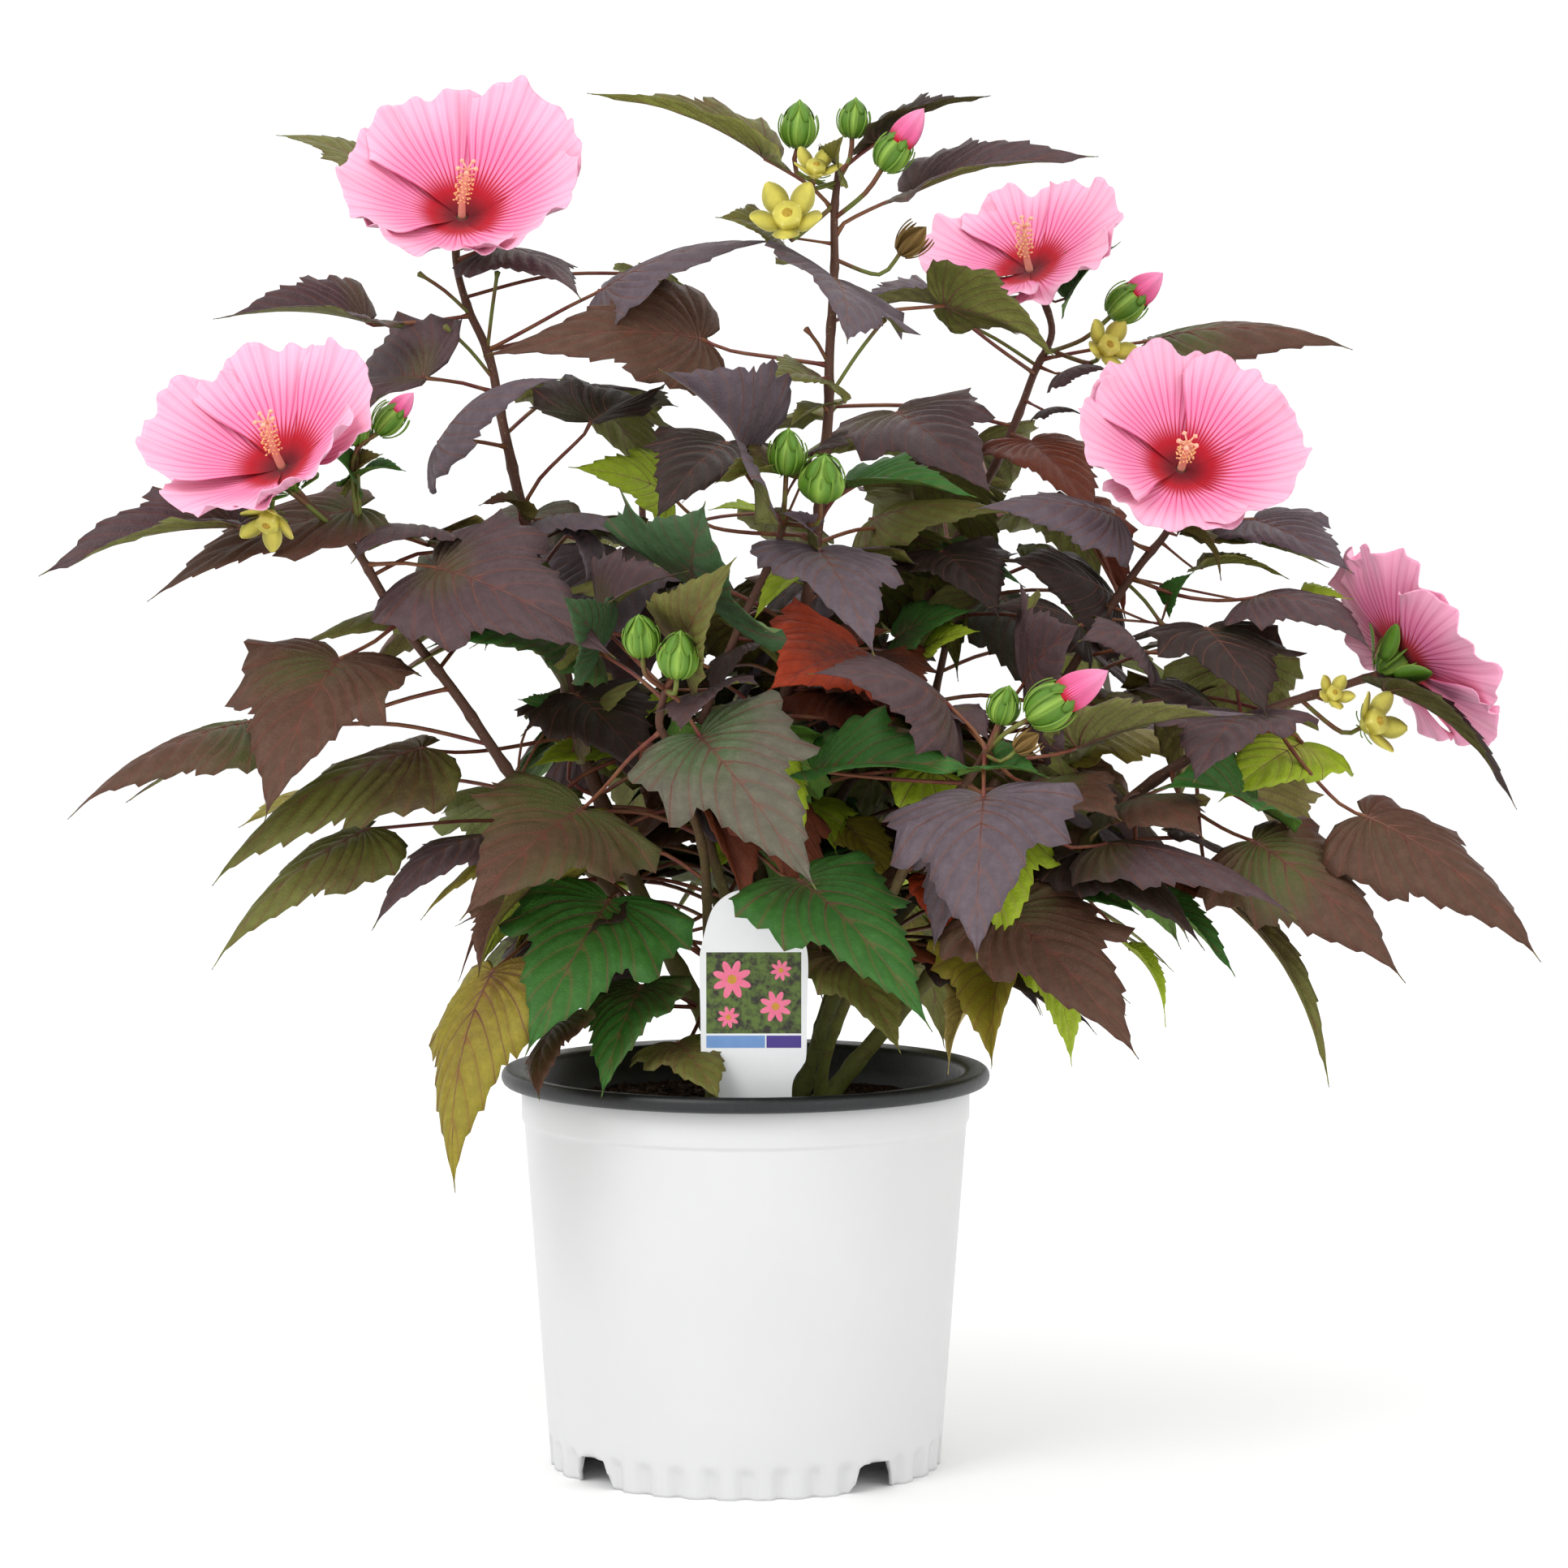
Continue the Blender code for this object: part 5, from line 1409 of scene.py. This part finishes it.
def plant_buds(stems, sheaf):
    """Green buds with narrow bracts, yellow spent calyxes, dry capsules and cut stalks."""

    def carry(stem, join, base, axis, radius=0.0014):
        """A stalk from the stem to a bud's base, which it meets along the bud's axis."""
        start = stem_point(stems, stem, join)
        drop = min(0.4 * np.linalg.norm(base - start), 0.02)
        line = smooth_path((start, base - axis * drop, base + axis * 0.001), 0.006)
        tube(sheaf, line, radius, "pedicel", 8)

    for at, depth, length, width, lean, stem, join, pink in BUDS:
        axis = lean_axis(lean)
        length, width = length / PIXELS_PER_M * 1.06, width / PIXELS_PER_M
        base = seen(*at, depth) - axis * length * 0.48
        pod(sheaf, base, axis, length, width, "calyx", 25, 14, 5, 0.16, 0.8)
        strips(sheaf, base, axis, 11, width * 0.10, length * 0.86, width * 0.085, 1.15, 1.55, "bract", 0.2)
        waist = base + axis * length * 0.55
        strips(sheaf, waist, axis, 5, width * 0.44, length * 0.5, width * 0.3, -0.15, 0.9, "calyx", 0.63)
        if pink:
            start = base + axis * length * 0.45
            reach = length * 0.5 + pink / PIXELS_PER_M
            pod(sheaf, start, axis, reach, width * 0.82, "pink", 20, 12, 5, 0.3, 0.7)
        carry(stem, join, base, axis)
    for at, depth, width, facing, stem, join in SPENT:
        axis = unit(facing)
        width = width / PIXELS_PER_M
        base = seen(*at, depth) - axis * width * 0.2
        strips(sheaf, base, axis, 5, width * 0.08, width * 0.52, width * 0.36, 1.05, 0.25, "spent", 0.3)
        foot = base - axis * width * 0.14
        pod(sheaf, foot, axis, width * 0.34, width * 0.40, "spent", 15, 8, 5, 0.12, 0.6, 0.9)
        pod(sheaf, base, axis, width * 0.26, width * 0.26, "ochre", 15, 8, 5, 0.3, 0.7)
        foot = base - axis * width * 0.12
        strips(sheaf, foot, axis, 9, width * 0.05, width * 0.3, width * 0.03, 1.4, 0.6, "bract")
        carry(stem, join, foot, axis)
    for at, depth, length, lean, stem, join in CAPSULES:
        axis = lean_axis(lean)
        length = length / PIXELS_PER_M
        base = seen(*at, depth) - axis * length * 0.5
        pod(sheaf, base, axis, length, length * 0.72, "dry", 20, 10, 5, 0.4, 0.7)
        strips(sheaf, base, axis, 8, length * 0.1, length, length * 0.14, 0.9, 1.1, "dry")
        carry(stem, join, base, axis, 0.0012)
    for stem, join, end in CUT_STALKS:
        start = stem_point(stems, stem, join)
        tip = seen(*end, start[1] * MM_PER_M - CUT_TOWARDS)
        middle = 0.5 * (start + tip) + np.array((0.0, 0.0, 0.002))
        line = smooth_path((start, middle, tip), 0.006)
        share = np.linspace(0.0, 1.0, len(line))
        tube(sheaf, line, 0.0011 + 0.0008 * np.exp(-((1.0 - share) / 0.07) ** 2), "pedicel", 8)
    sheaf.piece("buds_and_calyxes", "stem")


def turned_sheet(sheaf, profile, finish, steps=240, change=None):
    """A closed profile of (radius, height) carried round the pot's axis; `change` moves points by angle."""
    profile = np.asarray(profile, float)
    angle = 2.0 * np.pi * np.arange(steps) / steps
    radius = profile[:, 0, None] * np.ones(steps)
    height = profile[:, 1, None] * np.ones(steps)
    if change:
        radius, height = change(radius, height, angle)
    points = np.stack((radius * np.cos(angle), radius * np.sin(angle), height), -1)
    sheaf.add(points, closed_faces(len(profile), steps)[:, ::-1], finish)


def shape_foot(radius, height, angle):
    """Drain notches, inside which the wall's lowest points rise, and round-topped flutes between them."""
    bearing = np.degrees(angle)
    for middle in NOTCH_BEARINGS:
        gap = np.abs((bearing - (middle - 90.0) + 180.0) % 360.0 - 180.0) * math.pi / 180.0 * FOOT_RADIUS
        rise = NOTCH_HEIGHT * (1.0 - ramp(0.0095, 0.0165, gap))
        height = np.maximum(height, np.where(height < NOTCH_HEIGHT, rise, height))
    flute = np.clip(np.cos(angle * FLUTES), 0.0, 1.0) ** 0.6
    depth = 0.0034 * flute * (1.0 - ramp(0.013, 0.020, height))
    return radius - depth * (radius > 0.9 * FOOT_RADIUS), height


def wall_radius(height):
    """The wall's outer radius at a height: it widens evenly from the foot to the collar."""
    return FOOT_RADIUS + (WALL_TOP_RADIUS - FOOT_RADIUS) / COLLAR_BOTTOM * height


def make_wall():
    """White wall with its collar, notches and flutes, and a thin floor inside its foot."""
    white = Finish("white_plastic", specular_ior_level=0.5)
    cloud = white.noise(14.0, 4.0)
    white.wear(
        base_color=white.mix(cloud, paint(216, 216, 217), paint(208, 208, 209)),
        roughness=0.34 + white.noise(60.0, 4.0) * 0.16,
    )
    white.bump(white.noise(26.0, 2.0) * 0.6 + white.noise(900.0) * 0.2, 0.12, 0.0008)
    wall = Sheaf({"white": white})
    foot_levels = np.linspace(0.0, FLUTE_TOP, 12)
    outside = [(wall_radius(z), z) for z in foot_levels]
    outside += [(wall_radius(z), z) for z in np.linspace(0.03, COLLAR_BOTTOM - 0.002, 10)]
    outside += [
        (WALL_TOP_RADIUS, COLLAR_BOTTOM - 0.0004), (WALL_TOP_RADIUS + 0.0009, COLLAR_BOTTOM + 0.0002),
        (COLLAR_RADIUS, COLLAR_BOTTOM + 0.0016), (COLLAR_RADIUS, WALL_TOP - 0.001),
        (COLLAR_RADIUS - 0.0006, WALL_TOP), (WALL_TOP_RADIUS - WALL_THICKNESS, WALL_TOP)]
    levels = np.concatenate((np.linspace(COLLAR_BOTTOM, FLUTE_TOP, 6), foot_levels[::-1]))
    inside = [(wall_radius(z) - WALL_THICKNESS, z) for z in levels]
    turned_sheet(wall, outside + inside, "white", change=shape_foot)
    floor = [(0.0006, 0.0165), (0.1080, 0.0165), (0.1080, 0.0180), (0.0006, 0.0180)]
    turned_sheet(wall, floor, "white", steps=64)
    wall.piece("pot_shell", "pot_white", ["pot_wall"])


def make_rim():
    """Black rim with a rolled edge, and the thin skin that lines the wall below it."""
    black = Finish("black_plastic", specular_ior_level=0.5)
    speck = 1.0 - black.cells(900.0, "F1").between(0.10, 0.18)
    grain = black.noise(300.0, 5.0, 0.7)
    dust = speck * 0.25 + grain.between(0.5, 0.8) * 0.15
    black.wear(
        base_color=black.mix(dust, paint(24, 26, 28), paint(96, 92, 86)),
        roughness=0.28 + grain * 0.28,
    )
    black.bump(grain, 0.25, 0.0005)
    rim = Sheaf({"black": black})
    top = WALL_TOP_RADIUS - WALL_THICKNESS - 0.0003
    arc = np.linspace(-0.5 * np.pi, 0.5 * np.pi, 9)
    profile = [(top, WALL_TOP + 0.0003), (RIM_RADIUS - 0.006, WALL_TOP + 0.0003)]
    for turn in arc:
        roll = RIM_RADIUS - 0.0036 + 0.0036 * math.cos(turn)
        profile.append((roll, WALL_TOP + 0.0050 + 0.0045 * math.sin(turn)))
    profile += [
        (top + 0.0045, POT_HEIGHT - 0.0010), (top + 0.0015, POT_HEIGHT - 0.0014),
        (top - 0.0006, POT_HEIGHT - 0.0040), (top - 0.0016, COLLAR_BOTTOM + 0.016),
        (top - 0.0030, COLLAR_BOTTOM + 0.0145), (top - 0.0036, COLLAR_BOTTOM),
        (0.1075, 0.022), (0.1090, 0.020), (top - 0.0006, COLLAR_BOTTOM)]
    turned_sheet(rim, profile, "black")
    rim.piece("pot_rim_and_liner", "pot_black", ["pot_rim_liner"])


# Potting mix (m): its radius, level, underside and how far it sinks at the edge, then its rings and steps,
# the waves that ruffle it, and the crumbs on it with their reach and level
MIX_RADIUS = 0.1208
MIX_LEVEL = 0.2072
MIX_UNDERSIDE = 0.19
MIX_SINK = 0.0030
MIX_RINGS = 70
MIX_STEPS = 160
MIX_WAVES = 60
CRUMBS = 1500
CRUMB_REACH = 0.118
CRUMB_LEVEL = 0.2079
MIX_SEED = 5


def make_mix():
    """Crumbly potting mix: a closed disc with a top ruffled by waves every way, strewn with small blocks."""
    earth = Finish("potting_soil", specular_ior_level=0.2)
    cloud = earth.noise(180.0, 6.0, 0.7)
    colour = earth.mix(cloud.between(0.35, 0.7), paint(38, 27, 20), paint(82, 60, 44))
    fleck = 1.0 - earth.cells(260.0, "F1").between(0.1, 0.2)
    earth.wear(base_color=earth.mix(fleck * 0.5, colour, paint(122, 98, 72)), roughness=0.9)
    earth.bump(cloud + earth.noise(800.0, 5.0), 0.8, 0.0014)
    mix = Sheaf({"earth": earth})
    radius = np.linspace(0.0005, MIX_RADIUS, MIX_RINGS)[:, None]
    angle = (2.0 * np.pi * np.arange(MIX_STEPS) / MIX_STEPS)[None, :]
    chance = np.random.default_rng(MIX_SEED)
    height = MIX_LEVEL - MIX_SINK * ramp(0.085, 0.118, radius) + np.zeros_like(angle)
    for _ in range(MIX_WAVES):
        way = chance.uniform(0.0, 6.28)
        pitch = chance.uniform(60.0, 520.0)
        wave = pitch * (radius * np.cos(angle) * math.cos(way) + radius * np.sin(angle) * math.sin(way))
        height = height + 0.020 / pitch * np.sin(wave + chance.uniform(0.0, 6.28))
    top = np.stack((radius * np.cos(angle), radius * np.sin(angle), height), -1)
    under = radius * 0.98
    level = np.full((MIX_RINGS, MIX_STEPS), MIX_UNDERSIDE)
    low = np.stack((under * np.cos(angle), under * np.sin(angle), level), -1)
    mix.add(np.concatenate((top, low[::-1])), closed_faces(2 * MIX_RINGS, MIX_STEPS), "earth")
    cube = np.array([(x, y, z) for x in (-1, 1) for y in (-1, 1) for z in (-1, 1)], float)
    sides = np.array(((0, 1, 3, 2), (4, 6, 7, 5), (0, 4, 5, 1), (2, 3, 7, 6), (0, 2, 6, 4), (1, 5, 7, 3)))
    for _ in range(CRUMBS):
        reach, way = CRUMB_REACH * math.sqrt(chance.uniform()), chance.uniform(0.0, 6.28)
        size = chance.uniform(0.0006, 0.0024) * np.array((1.0, chance.uniform(0.4, 1.0), 0.5))
        level = CRUMB_LEVEL - MIX_SINK * float(ramp(0.085, 0.118, reach))
        spin = np.array(Matrix.Rotation(chance.uniform(0, 3.1), 3, Vector(chance.normal(size=3))))
        chunk = (cube * size * chance.uniform(0.6, 1.1, (8, 1))) @ spin
        mix.add(chunk + (reach * math.cos(way), reach * math.sin(way), level), sides, "earth")
    mix.piece("potting_soil", "mix", ["potting_mix"], smooth=False)


def rounded_plate(sheaf, outline, y_front, y_back, finish):
    """A flat plate with this outline (x, z), from the front to the back, in quads across its middle line."""
    outline = np.asarray(outline, float)
    count = len(outline)
    half = count // 2
    front = np.stack((outline[:, 0], np.full(count, y_front), outline[:, 1]), -1)
    back = front + (0.0, y_back - y_front, 0.0)
    k = np.arange(half - 1)
    face = np.stack((k, count - 1 - k, count - 2 - k, k + 1), -1)
    ring = np.arange(count)
    turn = (ring + 1) % count
    edge = np.stack((ring, turn, turn + count, ring + count), -1)
    sheaf.add(np.concatenate((front, back)), np.concatenate((face, face[:, ::-1] + count, edge)), finish)


# Label stake (m): place of its middle line across and in depth, half its thickness, the right half of its
# outline (x from the middle line, z), its panels (left, right, low, high, finish), its flowers (x, z, size)
# with the petals of each, and its gloss level
LABEL_X = 0.0045
LABEL_Y = -0.1010
LABEL_HALF = 0.00055
LABEL_OUTLINE = (
    (0.0205, 0.184), (0.0210, 0.215), (0.0216, 0.232), (0.0270, 0.241), (0.0290, 0.247), (0.0295, 0.272),
    (0.0300, 0.298), (0.0285, 0.309), (0.0245, 0.324), (0.0205, 0.331), (0.0140, 0.3362), (0.0070, 0.3386),
    (0.0002, 0.3394),
)
LABEL_PANELS = (
    (-0.0262, 0.0262, 0.2590, 0.3040, "scene"),
    (-0.0262, 0.0062, 0.2510, 0.2578, "blue"),
    (0.0070, 0.0262, 0.2510, 0.2578, "violet"),
)
LABEL_FLOWERS = (
    (-0.012, 0.2890, 0.0108), (0.012, 0.2740, 0.0088), (0.0150, 0.2940, 0.0058), (-0.014, 0.2680, 0.0060),
)
LABEL_PETALS = 8
LABEL_GLOSS = 0.45


def label_plate(sheaf, outline, lift, sunk, finish):
    """A thin plate on the label's front: it stands out by `lift` and reaches back into it by `sunk`."""
    front = LABEL_Y - LABEL_HALF
    rounded_plate(sheaf, outline + np.array((LABEL_X, 0.0)), front - lift, front + sunk, finish)


def label_disc(sheaf, x, z, radius, lift, finish, squash=1.0, turn=0.0):
    """A disc on the label, squashed across and then turned."""
    angle = 2.0 * np.pi * np.arange(24) / 24
    flat = np.stack((radius * np.cos(angle), radius * squash * np.sin(angle)), -1)
    cosine, sine = math.cos(turn), math.sin(turn)
    flat = flat @ np.array(((cosine, sine), (-sine, cosine)))
    label_plate(sheaf, flat + (x, z), lift, 0.0001, finish)


def make_label():
    """The stake: an arched white plate with a mottled panel of plain daisies and a two-colour band."""
    stock = two_tone(
        "label_plastic", LABEL_GLOSS, 90.0, (240, 241, 242), (232, 234, 236), 0.35, grain=(500.0, 0.05))
    picture = Finish("label_picture", specular_ior_level=LABEL_GLOSS)
    tone = picture.noise(210.0, 5.0, 0.7)
    ground = picture.mix(tone.between(0.35, 0.6), paint(40, 34, 26), paint(88, 110, 44))
    picture.wear(base_color=ground, roughness=0.35 + tone * 0.1)
    sheaf = Sheaf({
        "stock": stock,
        "scene": picture,
        "flower": two_tone("label_flower", LABEL_GLOSS, 260.0, (240, 130, 160), (232, 96, 132), 0.38),
        "centre": two_tone("label_flower_centre", LABEL_GLOSS, 400.0, (214, 160, 52), (180, 120, 40), 0.4),
        "blue": two_tone("label_band_blue", LABEL_GLOSS, 200.0, (112, 152, 206), (102, 142, 198), 0.35),
        "violet": two_tone("label_band_violet", LABEL_GLOSS, 200.0, (72, 52, 138), (62, 44, 128), 0.35),
    })
    side = smooth_path(LABEL_OUTLINE, 0.0015)
    outline = np.concatenate((side, side[::-1] * (-1.0, 1.0))) + (LABEL_X, 0.0)
    rounded_plate(sheaf, outline, LABEL_Y - LABEL_HALF, LABEL_Y + LABEL_HALF, "stock")
    for left, right, low, high, finish in LABEL_PANELS:
        corners = np.array(((right, low), (right, high), (left, high), (left, low)))
        label_plate(sheaf, corners, 0.00010, 0.0002, finish)
    for x, z, size in LABEL_FLOWERS:
        for k in range(LABEL_PETALS):
            turn = 2.0 * math.pi * k / LABEL_PETALS + size * 40.0
            away = 0.56 * size
            middle = (x + away * math.cos(turn), z + away * math.sin(turn))
            label_disc(sheaf, *middle, 0.46 * size, 0.00016 + 0.00001 * k, "flower", 0.42, turn)
        label_disc(sheaf, x, z, 0.24 * size, 0.00032, "centre")
    sheaf.piece("plant_label", "label", ["label_stake"], smooth=False)


# Studio: half the floor's side (m), area lights (name, place, size and power), the height they aim at and the
# white surround's strength
FLOOR_REACH = 14.0
LIGHTS = (
    ("key", (-1.5, -2.0, 2.6), 1.4, 34.0),
    ("fill", (2.2, -2.2, 1.5), 2.0, 10.0),
    ("back", (0.4, 2.4, 2.6), 2.0, 18.0),
)
LIGHT_AIM = (0.0, 0.0, 0.45)
SURROUND = 1.06


def make_studio():
    """Camera at the photograph's place, a plain pale floor, soft lights and a white surround."""
    lens = bpy.data.cameras.new("camera")
    lens.sensor_width = SENSOR_MM
    lens.lens = FOCAL_PIXELS * SENSOR_MM / PICTURE_PIXELS
    camera = bpy.data.objects.new("camera", lens)
    turn = Matrix((RIGHT, UP, -FORWARD)).transposed()
    camera.matrix_world = Matrix.Translation(EYE) @ turn.to_4x4()
    bpy.context.scene.collection.objects.link(camera)
    bpy.context.scene.camera = camera
    pale = Finish("floor_pale", base_color=(0.96, 0.96, 0.96, 1.0), roughness=0.9, specular_ior_level=0.1)
    mesh = bpy.data.meshes.new("floor")
    corners = [(x * FLOOR_REACH, y * FLOOR_REACH, 0.0) for x, y in ((-1, -1), (1, -1), (1, 1), (-1, 1))]
    mesh.from_pydata(corners, [], [(0, 1, 2, 3)])
    mesh.materials.append(pale.material)
    floor = bpy.data.objects.new("floor", mesh)
    bpy.context.scene.collection.objects.link(floor)
    for name, place, size, power in LIGHTS:
        light = bpy.data.lights.new(name, "AREA")
        light.size = size
        light.energy = power
        lamp = bpy.data.objects.new(name, light)
        aim = Vector(LIGHT_AIM) - Vector(place)
        lamp.matrix_world = Matrix.Translation(place) @ aim.to_track_quat("-Z", "Y").to_matrix().to_4x4()
        bpy.context.scene.collection.objects.link(lamp)
    world = bpy.data.worlds.new("studio")
    bpy.context.scene.world = world
    world.use_nodes = True
    world.node_tree.nodes["Background"].inputs[0].default_value = (1.0, 1.0, 1.0, 1.0)
    world.node_tree.nodes["Background"].inputs[1].default_value = SURROUND
    bpy.context.scene.view_settings.view_transform = "Standard"


def build():
    """Every piece, then the studio."""
    stems = stem_paths()
    make_wall()
    make_rim()
    make_mix()
    make_label()
    plant_stems(stems)
    plant_leaves(stems)
    pink = petal_finish("bud_pink", (246, 150, 190), (236, 110, 160), (200, 50, 110))
    pedicel = two_tone(
        "flower_stalk", 0.4, 60.0, (108, 116, 52), (112, 70, 50), 0.5, (0.4, 0.6), 0.15, (900.0, 0.3))
    greens = Sheaf({
        "calyx": green_finish("calyx_green", (96, 142, 40), (152, 186, 76)),
        "bract": green_finish("bract_green", (116, 158, 52), (160, 190, 88)),
        "spent": green_finish("calyx_yellow", (226, 214, 96), (238, 230, 140), 0.6),
        "ochre": green_finish("capsule_ochre", (186, 150, 44), (206, 176, 70), 0.6),
        "dry": green_finish("capsule_dry", (128, 98, 50), (176, 146, 86), 0.8),
        "pink": pink,
        "pedicel": pedicel,
    })
    plant_blooms(stems, greens)
    plant_buds(stems, greens)
    make_studio()


build()
